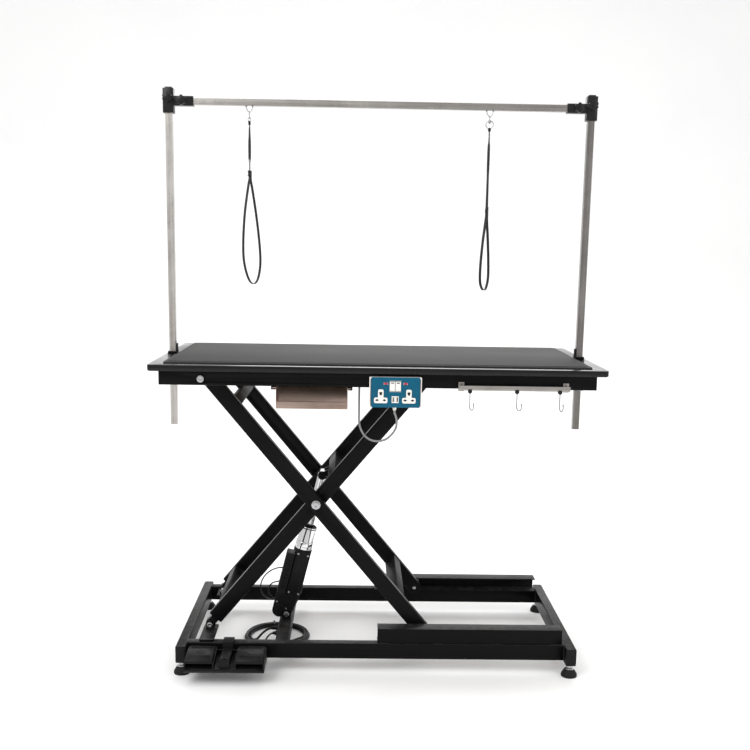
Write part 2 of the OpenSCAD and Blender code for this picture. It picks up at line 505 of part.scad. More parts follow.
// sideways and downward points, measured from the eye
noose_l = [[0,-20.5],[0,-90],[0,-150],[0,-186],[-8,-215],[-26,-290],[-35,-370],[-32,-430],[-10,-480],[16,-497],[40,-484],[54,-440],[50,-380],[34,-300],[14,-225],[4.5,-196],[4.5,-172]];
noose_r = [[0,-20.5],[0,-100],[0,-190],[0,-276],[-6,-305],[-22,-360],[-35,-430],[-34,-478],[-16,-500],[0,-504],[16,-499],[31,-470],[29,-420],[17,-350],[6,-305],[4.5,-284],[4.5,-262]];
// shackle hanging on the lug
module shackle(x) {
  cyl_y(x,eye_z-7,post_y-6,post_y+6,2.5);
  for (y=[-6,4]) { cyl_y(x,eye_z-7,post_y+y,post_y+y+2,4); blk(x-3,x+3,post_y+y,post_y+y+2,eye_z-22,eye_z-7); }
  blk(x-3,x+3,post_y-6,post_y+6,eye_z-24,eye_z-20);
}
module noose_left() place() { color(c_web) tube([for (q=noose_l) noose_pt(nlx,q)],4,1.2,nw); color(c_zinc) shackle(nlx); }
module noose_right() place() { color(c_web) tube([for (q=noose_r) noose_pt(nrx,q)],4,1.2,nw); color(c_zinc) shackle(nrx); }

sock_pts = [[44,-305,sz0+2],[44,-305,sz0-14],[51,-296,sz0-40],[47,-285,sz0-68],[24,-272,sz0-96],[-7,-262,sz0-104],[-34,-254,sz0-92],[-50,-248,sz0-62],[-52,-246,sz0-20],[-52,-246,sz0+40],[-52,-246,board_z]];
module socket_cord() place() color([0.35,0.35,0.36]) tube(curve(sock_pts,2),3,3,[1,0,0]);
ped_pts = [[-352,-270,38],[-352,-269,30],[-351,-262,21],[-350,-249,14],[-349,-230,8],[-348,-205,4],[-346,-172,3],[-343,-145,4],[-339,-128,10],
  [-335,-115,18],[-330,-106,28],[-322,-101,42],[-312,-100,53],[-303,-100,57],[-298,-100,57]];
module pedal_cord() place() color(c_rubber) tube(ped_pts,2.5,2.5,[1,0,0]);
coil_x = -300; coil_y = 10; coil_r = 91;
main_pts = [[-298,-60,57],[-308,-60,57],[-320,-60,54],[-332,-58,46],[-342,-56,36],[-350,-53,26],[-358,-47,16],[-369,-34,10]];
lead_pts = [[-268,-78,13],[-286,-88,15],[-300,-95,13],[-318,-102,8],[-336,-107,5],[-352,-112,5],[-368,-117,8],[-385,-121,11]];
module mains_cord() place() color(c_rubber) { tube(main_pts,3.5,3.5,[0,1,0]); tube(lead_pts,3.5,3.5,[0,1,0]); }
module mains_coil() place() color(c_rubber) translate([coil_x,coil_y,7.7]) rotate_extrude($fn=48) translate([coil_r,0]) polygon(rr(26,14.6,5));
module mains_plug() place() color(c_rubber) translate([-385,-121,11]) rotate([0,0,193]) {
  cyl_x(0,22,0,0,4.5); translate([20,0,-11]) linear_extrude(22) polygon([[0,-8],[6,-13],[30,-14],[34,-12],[34,12],[30,14],[6,13],[0,8]]);
  for (y=[-7,7]) cyl_x(53,72,y,0,2.4);
}

base_long_rails();
base_end_rails();
base_end_plugs();
base_channels();
base_cross_tube();
base_brackets();
base_pins();
feet();
pedal_base();
pedal_left();
pedal_right();
outer_arms();
outer_ties();
outer_bolts();
lower_rollers();
inner_arms();
inner_ties();
actuator_lug();
upper_axles();
upper_rollers();
actuator_body();
actuator_tube();
actuator_rod();
table_board();
table_rim();
mat();
sub_frame_rails();
sub_frame_ends();
top_channels();
top_pivot_bolts();
tray_runners();
tool_tray();
socket_box();
socket_panel();
socket_outlets();
rocker_left();
rocker_right();
hook_rail();
rail_hook_a();
rail_hook_b();
rail_hook_c();
post_holders();
holder_knob_left();
holder_knob_right();
posts();
crossbar();
clamps();
post_knob_left();
post_knob_right();
bar_knob_left();
bar_knob_right();
noose_hook_left();
noose_hook_right();
noose_left();
noose_right();
socket_cord();
pedal_cord();
mains_cord();
mains_coil();
mains_plug();
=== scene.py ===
import bpy
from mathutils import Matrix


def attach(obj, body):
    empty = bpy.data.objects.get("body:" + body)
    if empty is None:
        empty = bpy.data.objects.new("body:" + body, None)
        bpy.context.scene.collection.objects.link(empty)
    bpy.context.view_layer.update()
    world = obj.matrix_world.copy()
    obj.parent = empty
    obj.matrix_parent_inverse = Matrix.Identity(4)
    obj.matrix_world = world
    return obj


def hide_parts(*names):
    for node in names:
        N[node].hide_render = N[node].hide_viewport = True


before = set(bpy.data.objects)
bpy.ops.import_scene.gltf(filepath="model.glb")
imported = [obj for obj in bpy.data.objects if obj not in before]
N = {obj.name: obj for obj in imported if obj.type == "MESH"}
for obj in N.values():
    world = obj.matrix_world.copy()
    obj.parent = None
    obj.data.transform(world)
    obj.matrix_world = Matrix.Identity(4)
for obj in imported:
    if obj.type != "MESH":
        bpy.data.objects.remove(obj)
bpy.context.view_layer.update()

import bpy, bmesh, math
from math import sin, cos, pi, radians
from mathutils import Vector, Matrix

SC = bpy.context.scene
YM = 22.0


def P(x, y, z):
    """Millimetres of the part's source to metres of the row frame."""
    return Vector((x * .001, (y + YM) * .001, z * .001))


# ---------------------------------------------------------------- camera
yaw, pitch, roll = radians(1.1524), radians(9.8595), radians(0.9573)
fwd = Vector((sin(yaw) * cos(pitch), cos(yaw) * cos(pitch), -sin(pitch)))
rgt = Vector((cos(yaw), -sin(yaw), 0))
upv = rgt.cross(fwd)
cx_, cy_ = rgt * cos(roll) + upv * sin(roll), -rgt * sin(roll) + upv * cos(roll)
cam_data = bpy.data.cameras.new("camera")
cam = bpy.data.objects.new("camera", cam_data)
SC.collection.objects.link(cam)
mw = Matrix((cx_, cy_, -fwd)).transposed().to_4x4()
mw.translation = Vector((-0.06244, -2.96683, 1.22034))
cam.matrix_world = mw
cam_data.lens, cam_data.sensor_width, cam_data.shift_y = 48.0, 36.0, 0.06
cam_data.clip_end = 60
SC.camera = cam


# ---------------------------------------------------------------- materials
def base_tree(name):
    m = bpy.data.materials.new(name)
    m.use_nodes = True
    t = m.node_tree
    return m, t, t.nodes["Principled BSDF"], t.links.new


def noise(t, L, vec, scale, detail=4, rough=.55, dist=0.0):
    n = t.nodes.new("ShaderNodeTexNoise")
    n.inputs["Scale"].default_value = scale
    n.inputs["Detail"].default_value = detail
    n.inputs["Roughness"].default_value = rough
    n.inputs["Distortion"].default_value = dist
    L(vec, n.inputs["Vector"])
    return n.outputs["Fac"]


def mapped(t, L, stretch, rot=(0, 0, 0)):
    tc = t.nodes.new("ShaderNodeTexCoord")
    mp = t.nodes.new("ShaderNodeMapping")
    mp.inputs["Scale"].default_value = stretch
    mp.inputs["Rotation"].default_value = rot
    L(tc.outputs["Object"], mp.inputs["Vector"])
    return mp.outputs["Vector"]


def ramp(t, L, fac, stops):
    r = t.nodes.new("ShaderNodeValToRGB")
    e = r.color_ramp.elements
    e[0].position, e[0].color = stops[0][0], (*stops[0][1], 1)
    e[1].position, e[1].color = stops[-1][0], (*stops[-1][1], 1)
    for p, c in stops[1:-1]:
        x = e.new(p)
        x.color = (*c, 1)
    L(fac, r.inputs["Fac"])
    return r.outputs["Color"]


def math_(t, L, op, a, b):
    n = t.nodes.new("ShaderNodeMath")
    n.operation = op
    for i, v in enumerate((a, b)):
        if isinstance(v, (int, float)):
            n.inputs[i].default_value = v
        else:
            L(v, n.inputs[i])
    return n.outputs[0]


def rng(t, L, fac, lo, hi, a=.3, b=.7):
    n = t.nodes.new("ShaderNodeMapRange")
    L(fac, n.inputs["Value"])
    for k, v in (("From Min", a), ("From Max", b), ("To Min", lo), ("To Max", hi)):
        n.inputs[k].default_value = v
    return n.outputs["Result"]


def bump(t, L, b, height, strength, dist):
    n = t.nodes.new("ShaderNodeBump")
    n.inputs["Strength"].default_value = strength
    n.inputs["Distance"].default_value = dist
    L(height, n.inputs["Height"])
    L(n.outputs["Normal"], b.inputs["Normal"])
    return n


def pbr(name, base, rough, metal=0.0, var=.12, rvar=.07, coarse=11.0, fine=1200.0, strength=.3,
        dist=.00006, stretch=(1, 1, 1), coat=0.0, coat_rough=.08, spec=.5, sheen=0.0, dust_and_top_light=0.0, stops=None):
    m, t, b, L = base_tree(name)
    plain = mapped(t, L, (1, 1, 1))
    vec = mapped(t, L, stretch)
    c = noise(t, L, plain, coarse, 5, .6, .4)
    f = noise(t, L, vec, fine, 3, .5)
    mix = math_(t, L, "ADD", math_(t, L, "MULTIPLY", c, .7), math_(t, L, "MULTIPLY", f, .3))
    col = ramp(t, L, mix, stops or [(.34, tuple(x * (1 - var) for x in base)), (.5, base),
                                    (.68, tuple(min(1, x * (1 + var)) for x in base))])
    # dust and painted light: faces that point up are blended toward a light grey, partly settled dust and partly a
    # painted highlight standing in for light falling from above
    if dust_and_top_light:
        g = t.nodes.new("ShaderNodeNewGeometry")
        s = t.nodes.new("ShaderNodeSeparateXYZ")
        L(g.outputs["Normal"], s.inputs[0])
        upf = rng(t, L, s.outputs["Z"], 0, dust_and_top_light, .6, 1.0)
        k = math_(t, L, "MULTIPLY", upf, rng(t, L, noise(t, L, plain, 60, 4), .35, 1.0, .4, .65))
        mx = t.nodes.new("ShaderNodeMix")
        mx.data_type = "RGBA"
        L(k, mx.inputs["Factor"])
        L(col, mx.inputs["A"])
        mx.inputs["B"].default_value = (.30, .29, .28, 1)
        col = mx.outputs["Result"]
    L(col, b.inputs["Base Color"])
    r = math_(t, L, "ADD", rng(t, L, c, rough - rvar, rough + rvar), rng(t, L, f, -rvar * .5, rvar * .5))
    L(r, b.inputs["Roughness"])
    b.inputs["Metallic"].default_value = metal
    b.inputs["Specular IOR Level"].default_value = spec
    b.inputs["Coat Weight"].default_value = coat
    b.inputs["Coat Roughness"].default_value = coat_rough
    b.inputs["Sheen Weight"].default_value = sheen
    bump(t, L, b, f, strength, dist)
    return m


def brushed(name, base, rough, stretch, warm=True, strength=.35, side=1.0):
    m, t, b, L = base_tree(name)
    vec = mapped(t, L, stretch)
    plain = mapped(t, L, (1, 1, 1))
    line = noise(t, L, vec, 900, 6, .7)
    band = noise(t, L, vec, 120, 3, .5)
    smudge = noise(t, L, plain, 5.0, 4, .6, .8)
    mix = math_(t, L, "ADD", math_(t, L, "MULTIPLY", line, .35), math_(t, L, "MULTIPLY", smudge, .35))
    mix = math_(t, L, "ADD", mix, math_(t, L, "MULTIPLY", band, .30))
    w = (1.0, .93, .86) if warm else (1, 1, 1)
    lo = tuple(base[i] * w[i] * .62 for i in range(3))
    hi = tuple(min(1, base[i] * 1.22) for i in range(3))
    col = ramp(t, L, mix, [(.36, lo), (.5, base), (.62, hi)])
    if side != 1.0:
        # painted shade: the colour is multiplied down along X, from 1 at the left end to side at the right end,
        # standing in for the light falling off across the table
        q = t.nodes.new("ShaderNodeSeparateXYZ")
        L(plain, q.inputs[0])
        k = rng(t, L, q.outputs["X"], 1.0, side, -.55, .55)
        g = t.nodes.new("ShaderNodeCombineColor")
        for i in range(3):
            L(k, g.inputs[i])
        mx = t.nodes.new("ShaderNodeMix")
        mx.data_type = "RGBA"
        mx.blend_type = "MULTIPLY"
        mx.inputs["Factor"].default_value = 1.0
        L(col, mx.inputs["A"])
        L(g.outputs[0], mx.inputs["B"])
        col = mx.outputs["Result"]
    L(col, b.inputs["Base Color"])
    r = math_(t, L, "ADD", rng(t, L, smudge, rough - .05, rough + .08), rng(t, L, band, -.05, .06))
    L(r, b.inputs["Roughness"])
    b.inputs["Metallic"].default_value = 1.0
    bump(t, L, b, line, strength, .00003)
    return m


def weave(name, base, per=1.1, twill=False, stretch=(1, 1, 1)):
    m, t, b, L = base_tree(name)
    vec = mapped(t, L, (1, 1, 1))
    ws = []
    for rot in ((0, 0, 0), (0, radians(90), 0)) if not twill else ((0, radians(45), 0), (0, radians(-45), 0)):
        v = mapped(t, L, (1, 1, 1), rot)
        w = t.nodes.new("ShaderNodeTexWave")
        w.bands_direction = "X"
        w.inputs["Scale"].default_value = 1000 / per / 20 * pi / 3.14159
        w.inputs["Distortion"].default_value = .6
        w.inputs["Detail"].default_value = 1
        L(v, w.inputs["Vector"])
        ws.append(w.outputs["Fac"])
    h = math_(t, L, "MULTIPLY", ws[0], ws[1])
    n = noise(t, L, vec, 40, 4)
    mix = math_(t, L, "ADD", math_(t, L, "MULTIPLY", h, .6), math_(t, L, "MULTIPLY", n, .4))
    L(ramp(t, L, mix, [(.15, tuple(x * .55 for x in base)), (.45, base), (.8, tuple(x * 1.9 for x in base))]), b.inputs["Base Color"])
    L(rng(t, L, n, .78, .95), b.inputs["Roughness"])
    b.inputs["Sheen Weight"].default_value = .25
    b.inputs["Sheen Roughness"].default_value = .5
    bump(t, L, b, h, .7, .0003)
    return m


M = {}
M["frame"] = pbr("powder_black", (.0030, .0030, .0034), .36, var=.3, rvar=.05, coarse=7, fine=520, strength=.32, dist=.00009, spec=.085, dust_and_top_light=.10)
# painted shade: a darker, duller copy of the frame's powder black, for the ties, sub-frame ends and tray runners that
# sit between and under other parts
M["frame_shaded"] = pbr("powder_black_shaded", (.0022, .0022, .0026), .44, var=.25, coarse=9, fine=520, strength=.3, dist=.00008, spec=.06, dust_and_top_light=.04)
M["zinc"] = pbr("zinc_plate", (.42, .42, .43), .24, metal=1, var=.12, rvar=.08, coarse=70, fine=900, strength=.15, dist=.00003)
M["alu"] = brushed("anodised_rail", (.33, .31, .29), .30, (.02, 1, 1))
M["plastic"] = pbr("moulded_black", (.0045, .0045, .0050), .42, var=.3, rvar=.06, coarse=16, fine=1500, strength=.45, dist=.00007, spec=.16, dust_and_top_light=.03)
M["knob"] = pbr("knob_black", (.0055, .0055, .0060), .33, var=.22, rvar=.06, coarse=60, fine=1100, strength=.3, dist=.00006, spec=.30)
# the posts and the bar (and the hook wires) carry painted shade: side=.44 and .56 set how dark their colour gets at the
# right end
M["steel_z"] = brushed("brushed_posts_painted_falloff", (.50, .475, .45), .25, (1, 1, .012), side=.44)
M["steel_x"] = brushed("brushed_bar_painted_falloff", (.50, .475, .45), .25, (.012, 1, 1), side=.56)
M["tray"] = brushed("brushed_tray", (.345, .262, .222), .34, (.02, 1, 1))
M["chrome"] = pbr("polished_tube", (.72, .72, .73), .10, metal=1, var=.08, rvar=.04, coarse=18, fine=700, strength=.06, dist=.00002)
M["rod"] = pbr("ground_rod", (.66, .66, .67), .2, metal=1, var=.08, rvar=.05, coarse=20, fine=900, strength=.12, dist=.00002, stretch=(1, 1, 6))
M["rubber"] = pbr("black_rubber", (.007, .007, .007), .62, var=.3, rvar=.1, coarse=25, fine=900, strength=.5, dist=.0001, spec=.22, dust_and_top_light=.12)
M["board"] = pbr("plywood", (.30, .19, .10), .62, var=.25, rvar=.1, coarse=9, fine=160, strength=.4, dist=.0002, stretch=(.06, 1, 1))
M["rim"] = pbr("gloss_profile", (.006, .006, .007), .16, var=.3, rvar=.05, coarse=5, fine=380, strength=.05, dist=.00004, coat=.12, coat_rough=.10, spec=.20, dust_and_top_light=.01)
M["nylon"] = pbr("nylon_white", (.72, .71, .67), .42, var=.08, rvar=.08, coarse=40, fine=900, strength=.2, dist=.00005)
M["white"] = pbr("urea_white", (.80, .77, .73), .30, var=.05, rvar=.05, coarse=25, fine=700, strength=.1, dist=.00003, coat=.15)
M["teal"] = pbr("teal_plate", (.0016, .090, .160), .33, var=.10, rvar=.06, coarse=22, fine=900, strength=.2, dist=.00004, spec=.18)
M["web"] = weave("webbing_black", (.010, .010, .011), 1.3)
M["grey_cable"] = pbr("grey_sheath", (.20, .20, .20), .42, var=.12, rvar=.08, coarse=30, fine=900, strength=.2, dist=.00004)
M["black_cable"] = pbr("black_sheath", (.0055, .0055, .0060), .36, var=.3, rvar=.08, coarse=30, fine=700, strength=.25, dist=.00005, spec=.30, dust_and_top_light=.04)
M["hole"] = pbr("dark_slot", (.004, .004, .004), .7, var=.3, coarse=60, fine=900)
M["red"] = pbr("red_lens", (.36, .008, .03), .16, var=.15, rvar=.04, coarse=90, fine=900, strength=.1, dist=.00002, coat=.5)
M["stitch"] = pbr("stitch_thread", (.05, .05, .052), .75, var=.2, coarse=200, fine=2500, strength=.4, dist=.00006)
M["weld"] = pbr("weld_bead", (.007, .007, .0075), .32, var=.25, rvar=.08, coarse=90, fine=500, strength=.3, dist=.0001, spec=.25)
M["tie"] = pbr("cable_tie", (.009, .009, .0095), .4, var=.2, coarse=60, fine=900)


def mat_rubber():
    m, t, b, L = base_tree("mat_rubber")
    vec = mapped(t, L, (1, 1, 1))
    v = t.nodes.new("ShaderNodeTexVoronoi")
    v.inputs["Scale"].default_value = 620
    L(vec, v.inputs["Vector"])
    c = noise(t, L, vec, 2.2, 4, .6, .5)
    f = noise(t, L, vec, 260, 4, .6)
    mix = math_(t, L, "ADD", math_(t, L, "MULTIPLY", c, .6), math_(t, L, "MULTIPLY", f, .4))
    L(ramp(t, L, mix, [(.36, (.026, .0255, .0255)), (.5, (.033, .0325, .0325)), (.66, (.042, .0415, .0415))]), b.inputs["Base Color"])
    L(rng(t, L, mix, .52, .72), b.inputs["Roughness"])
    b.inputs["Specular IOR Level"].default_value = .12
    h = math_(t, L, "ADD", math_(t, L, "MULTIPLY", v.outputs["Distance"], .7), math_(t, L, "MULTIPLY", f, .5))
    bump(t, L, b, h, .55, .0003)
    return m


M["mat"] = mat_rubber()


# ---------------------------------------------------------------- mesh tools
def mesh(name, verts, faces, mat, body, slot=None, smooth=True, sub=0):
    me = bpy.data.meshes.new(name)
    me.from_pydata([tuple(v) for v in verts], [], faces)
    me.validate()
    bm = bmesh.new()
    bm.from_mesh(me)
    bmesh.ops.remove_doubles(bm, verts=bm.verts, dist=1e-7)
    bmesh.ops.recalc_face_normals(bm, faces=bm.faces)
    bm.to_mesh(me)
    bm.free()
    me.materials.append(M[mat])
    o = bpy.data.objects.new(name, me)
    SC.collection.objects.link(o)
    if smooth:
        me.shade_smooth()
        me.set_sharp_from_angle(angle=radians(38))
    if sub:
        s = o.modifiers.new("sub", "SUBSURF")
        s.levels = s.render_levels = sub
    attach(o, body)
    return o


class Soup:
    """Collects vertices and faces of several closed shapes into one piece."""

    def __init__(s):
        s.v, s.f = [], []

    def add(s, v, f):
        k = len(s.v)
        s.v += [Vector(a) for a in v]
        s.f += [[i + k for i in a] for a in f]
        return s

    def done(s, name, mat, body, slot=None, **kw):
        return mesh(name, s.v, s.f, mat, body, slot, **kw)


def frames(pts, u0, closed=False):
    n = len(pts)
    tg = []
    for i in range(n):
        a = pts[(i - 1) % n] if closed else pts[max(i - 1, 0)]
        b = pts[(i + 1) % n] if closed else pts[min(i + 1, n - 1)]
        tg.append((b - a).normalized())
    u, us = Vector(u0), []
    for t in tg:
        u = (u - t * u.dot(t)).normalized()
        us.append(u.copy())
    return tg, us


def sweep(pts, ra, rb=None, u0=(1, 0, 0), n=12, closed=False, widths=None, power=2.0):
    """Tube along points. ra and rb may be lists; power above 2 squares the section."""
    tg, us = frames(pts, u0, closed)
    if widths is not None:
        us = [(w - t * w.dot(t)).normalized() for w, t in zip(widths, tg)]
    rb = ra if rb is None else rb
    g = lambda r, i: r[i] if isinstance(r, (list, tuple)) else r
    v, f = [], []
    m = len(pts)
    for i in range(m):
        w = tg[i].cross(us[i])
        for j in range(n):
            a = 2 * pi * (j + .5) / n
            ca, sa = cos(a), sin(a)
            e = 2 / power
            x = math.copysign(abs(ca) ** e, ca) * g(ra, i)
            y = math.copysign(abs(sa) ** e, sa) * g(rb, i)
            v.append(pts[i] + us[i] * x + w * y)
    for i in range(m if closed else m - 1):
        for j in range(n):
            k = (i + 1) % m
            f.append([i * n + j, i * n + (j + 1) % n, k * n + (j + 1) % n, k * n + j])
    if not closed:
        f.append(list(range(n - 1, -1, -1)))
        f.append([(m - 1) * n + j for j in range(n)])
    return v, f


def catmull(pts, steps):
    out = []
    n = len(pts)
    for i in range(n - 1):
        a, b, c, d = pts[max(i - 1, 0)], pts[i], pts[i + 1], pts[min(i + 2, n - 1)]
        for k in range(steps):
            t = k / steps
            out.append(.5 * (2 * b + (c - a) * t + (2 * a - 5 * b + 4 * c - d) * t * t + (3 * b - a - 3 * c + d) * t ** 3))
    out.append(pts[-1].copy())
    return out


def rbox(c, size, r=.0008, seg=2, M4=None, taper=1.0):
    """Block with rounded edges about c, in metres."""
    bm = bmesh.new()
    bmesh.ops.create_cube(bm, size=1)
    for v in bm.verts:
        k = taper if v.co.z > 0 else 1
        v.co = Vector((v.co.x * size[0] * k, v.co.y * size[1] * k, v.co.z * size[2]))
    bmesh.ops.bevel(bm, geom=bm.edges[:], offset=min(r, min(size) * .45), segments=seg, profile=.5, affect="EDGES")
    mm = (M4 or Matrix.Identity(4))
    v = [mm @ a.co + Vector(c) for a in bm.verts]
    bm.verts.index_update()
    f = [[a.index for a in q.verts] for q in bm.faces]
    bm.free()
    return v, f


def lathe(c, axis, prof, n=28, ref=(0, 0, 1), closed_prof=False):
    """Turns (radius, along) pairs about an axis through c. Metres."""
    ax = Vector(axis).normalized()
    u = Vector(ref)
    if abs(u.dot(ax)) > .9:
        u = Vector((1, 0, 0))
    u = (u - ax * u.dot(ax)).normalized()
    w = ax.cross(u)
    v, f = [], []
    for r, h in prof:
        for j in range(n):
            a = 2 * pi * j / n
            v.append(Vector(c) + ax * h + (u * cos(a) + w * sin(a)) * max(r, 1e-5))
    m = len(prof)
    for i in range(m if closed_prof else m - 1):
        k = (i + 1) % m
        for j in range(n):
            f.append([i * n + j, i * n + (j + 1) % n, k * n + (j + 1) % n, k * n + j])
    if not closed_prof:
        f.append([j for j in range(n - 1, -1, -1)])
        f.append([(m - 1) * n + j for j in range(n)])
    return v, f


def ring(c, r, w, axis, n=36, k=10):
    pts = []
    ax = Vector(axis).normalized()
    u = Vector((0, 0, 1)) if abs(ax.z) < .9 else Vector((1, 0, 0))
    u = (u - ax * u.dot(ax)).normalized()
    v_ = ax.cross(u)
    for i in range(n):
        a = 2 * pi * i / n
        pts.append(Vector(c) + (u * cos(a) + v_ * sin(a)) * r)
    return sweep(pts, w, w, tuple(ax), k, closed=True)


# ---------------------------------------------------------------- cords
def bez(name, pts, d, mat, body):
    cu = bpy.data.curves.new(name, "CURVE")
    cu.dimensions = "3D"
    cu.bevel_depth = d / 2
    cu.bevel_resolution = 4
    cu.resolution_u = 5
    cu.use_fill_caps = True
    s = cu.splines.new("BEZIER")
    s.bezier_points.add(len(pts) - 1)
    for b, p in zip(s.bezier_points, pts):
        b.co = p
        b.handle_left_type = b.handle_right_type = "AUTO"
    cu.materials.append(M[mat])
    o = bpy.data.objects.new(name, cu)
    SC.collection.objects.link(o)
    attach(o, body)
    return o


def length(pts):
    return sum((b - a).length for a, b in zip(pts, pts[1:]))


SZ0 = 857.949 - 67
SXC = -20 + 65.5
BOARD = 879.949
sock_pts = [(44, -305, SZ0 + 2), (44, -305, SZ0 - 14), (51, -296, SZ0 - 40), (47, -285, SZ0 - 68), (24, -272, SZ0 - 96), (-7, -262, SZ0 - 104),
            (-34, -254, SZ0 - 92), (-50, -248, SZ0 - 62), (-52, -246, SZ0 - 20), (-52, -246, SZ0 + 40), (-52, -246, BOARD)]
sock = catmull([P(*p) for p in sock_pts], 3)
sock_cord = bez("socket_lead", sock, .006, "grey_cable", "table")
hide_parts("socket_cord")

ped_pts = [(-352, -270, 38), (-352, -269, 30), (-351, -262, 21), (-350, -249, 14), (-349, -230, 8), (-348, -205, 4), (-346, -172, 3), (-343, -145, 4),
           (-339, -128, 10), (-335, -115, 18), (-330, -106, 28), (-322, -101, 42), (-312, -100, 53), (-303, -100, 57), (-298, -100, 57)]
ped = catmull([P(*p) for p in ped_pts], 2)
ped_cord = bez("pedal_lead", ped, .005, "black_cable", "base")
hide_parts("pedal_cord")

main_pts = [(-298, -60, 57), (-308, -60, 57), (-320, -60, 54), (-332, -58, 46), (-342, -56, 36), (-350, -53, 26), (-358, -47, 16)]
lead_pts = [(-286, -88, 16), (-300, -95, 13), (-318, -102, 8), (-336, -107, 5), (-352, -112, 5), (-368, -117, 8), (-385, -121, 11)]


def ease(t, a, b):
    k = min(1, max(0, (t - a) / (b - a)))
    return k * k * (3 - 2 * k)


A0 = 223.5
coil = []
t = .03
while t < 4.8:
    r = 82.2 + 1.4 * ease(t, 0, .12)
    z = 9.6 - 5.8 * ease(t, 0.0, .13)
    r += 7.3 * ease(t, .93, 1.07) + 7.3 * ease(t, 1.93, 2.07)
    r -= 3.7 * ease(t, 2.86, 3.06)
    z += 6.4 * ease(t, 2.84, 2.97)
    r -= 7.3 * ease(t, 4.05, 4.2)
    r += 7.5 * ease(t, 4.70, 4.83)
    z += 7.0 * ease(t, 4.62, 4.76)
    a = radians(A0 - 360 * t)
    k = 1 + .013 * sin(2 * a + .6) + .008 * sin(3 * a + 1)
    if .12 < t < 4.62:
        z += .25 * sin(5 * a + t)
    coil.append(P(-300 + r * k * cos(a), 10 + r * k * sin(a), z))
    t += 1 / 24
mains = [P(*p) for p in main_pts] + coil + [P(*p) for p in lead_pts]
mains_cord = bez("mains_lead", mains, .007, "black_cable", "base")
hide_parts("mains_cord", "mains_coil")

# webbing loops of the two nooses
EYE = 902.949 + 719 - 21
NB = radians(62)
NT, NW = Vector((cos(NB), sin(NB), 0)), Vector((-sin(NB), cos(NB), 0))


def strap(name, x, qs, turns, body, node):
    mm = [Vector((q[0], q[1], 0)) for q in qs]
    pl = catmull(mm, 5)
    pts = [P(x, 10, EYE + q.y) + NT * q.x * .001 for q in pl]
    wd = []
    low = False
    for q in pl:
        low = low or q.y < turns[-1][0]
        if low:
            wd.append(NW.copy())
            continue
        ang = turns[-1][1]
        for (q0, a0), (q1, a1) in zip(turns, turns[1:]):
            if q0 >= q.y >= q1:
                k = (q0 - q.y) / (q0 - q1)
                ang = a0 + (a1 - a0) * k * k * (3 - 2 * k)
        wd.append(Vector((cos(radians(ang)), sin(radians(ang)), 0)))
    v, f = sweep(pts, .004, .0011, n=16, widths=wd, power=5)
    o = mesh(name, v, f, "web", body, "webbing")
    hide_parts(node)
    return o, pts


edge = 152
left_q = [[0, -31], [0, -50], [0, -85], [0, -120], [0, -150], [0, -172], [0, -190], [-8, -215], [-26, -290], [-35, -370], [-32, -430], [-10, -480], [16, -497],
          [40, -484], [54, -440], [50, -380], [34, -300], [14, -225], [4.5, -196], [4.5, -172]]
right_q = [[0, -38], [0, -60], [0, -110], [0, -190], [0, -276], [-6, -305], [-22, -360], [-35, -430], [-34, -478], [-16, -500], [0, -504], [16, -499],
           [31, -470], [29, -420], [17, -350], [6, -305], [4.5, -284], [4.5, -262]]
nl, nl_path = strap("noose_left_webbing", -379, left_q, [(-31, 92), (-60, 128), (-105, 178), (-135, 160), (-150, 100), (-172, 100), (-190, edge)], "noose_left", "noose_left")
nr, nr_path = strap("noose_right_webbing", 316, right_q, [(-38, 95), (-68, 95), (-95, 150), (-130, 172), (-175, 130), (-230, 140), (-276, edge)], "noose_right", "noose_right")

# metal and plastic parts on the nooses
POSTY = 10


def wire(s, pts, r, n=10, u0=(0, 1, 0), steps=4):
    v, f = sweep(catmull([P(*p) for p in pts], steps), r * .001, n=n, u0=u0)
    s.add(v, f)


def hanger(x, node, name):
    """Half ring welded under the bar with a small flattened foot at each leg."""
    s = Soup()
    zb = EYE + 21 - 10.2
    wire(s, [(x - 9.5, POSTY, zb + .4), (x - 9.3, POSTY, zb - 3), (x - 7.2, POSTY, zb - 9), (x - 3.6, POSTY, zb - 14.6), (x, POSTY, zb - 16.6),
             (x + 3.6, POSTY, zb - 14.6), (x + 7.2, POSTY, zb - 9), (x + 9.3, POSTY, zb - 3), (x + 9.5, POSTY, zb + .4)], 1.5)
    for k in (-1, 1):
        s.add(*lathe(P(x + k * 9.5, POSTY, zb + .4), (0, 0, -1), [(.0032, 0), (.0034, .0006), (.0026, .0016), (.0015, .0026)], 18))
    o = s.done(name, "zinc", "crossbar", "zinc")
    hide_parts(node)
    return o


hanger(-379, "noose_hook_left", "noose_left_hanger")
hanger(316, "noose_hook_right", "noose_right_hanger")


def snap(x, body, name, top, bottom, big_ring=None):
    """Trigger snap hook: hook, gate, swivel barrel and strap eye."""
    s = Soup()
    h = top
    wire(s, [(x - 1, POSTY - 4.2, h - 8), (x, POSTY - 4.6, h - 4), (x, POSTY - 3.2, h - .6), (x, POSTY, h + .9), (x, POSTY + 3.4, h - .8), (x, POSTY + 4.8, h - 5),
             (x, POSTY + 3.8, h - 10), (x, POSTY + 1, h - 13.2), (x, POSTY, h - 15)], 1.35, steps=5, u0=(1, 0, 0))
    s.add(*lathe(P(x, POSTY - 4.4, h - 12.5), (0, -.06, 1), [(.0006, 0), (.0011, .0004), (.0011, .0046), (.0007, .0052)], 14))
    s.add(*lathe(P(x, POSTY, h - 13), (0, 0, -1), [(.0015, 0), (.0027, .0007), (.0029, .002), (.0022, .0028), (.0031, .0036), (.0031, .0052), (.0019, .0062)], 20))
    s.add(*ring(P(x, POSTY, bottom + 2.6), .0042, .0011, (0, 1, 0), 28, 10))
    return s


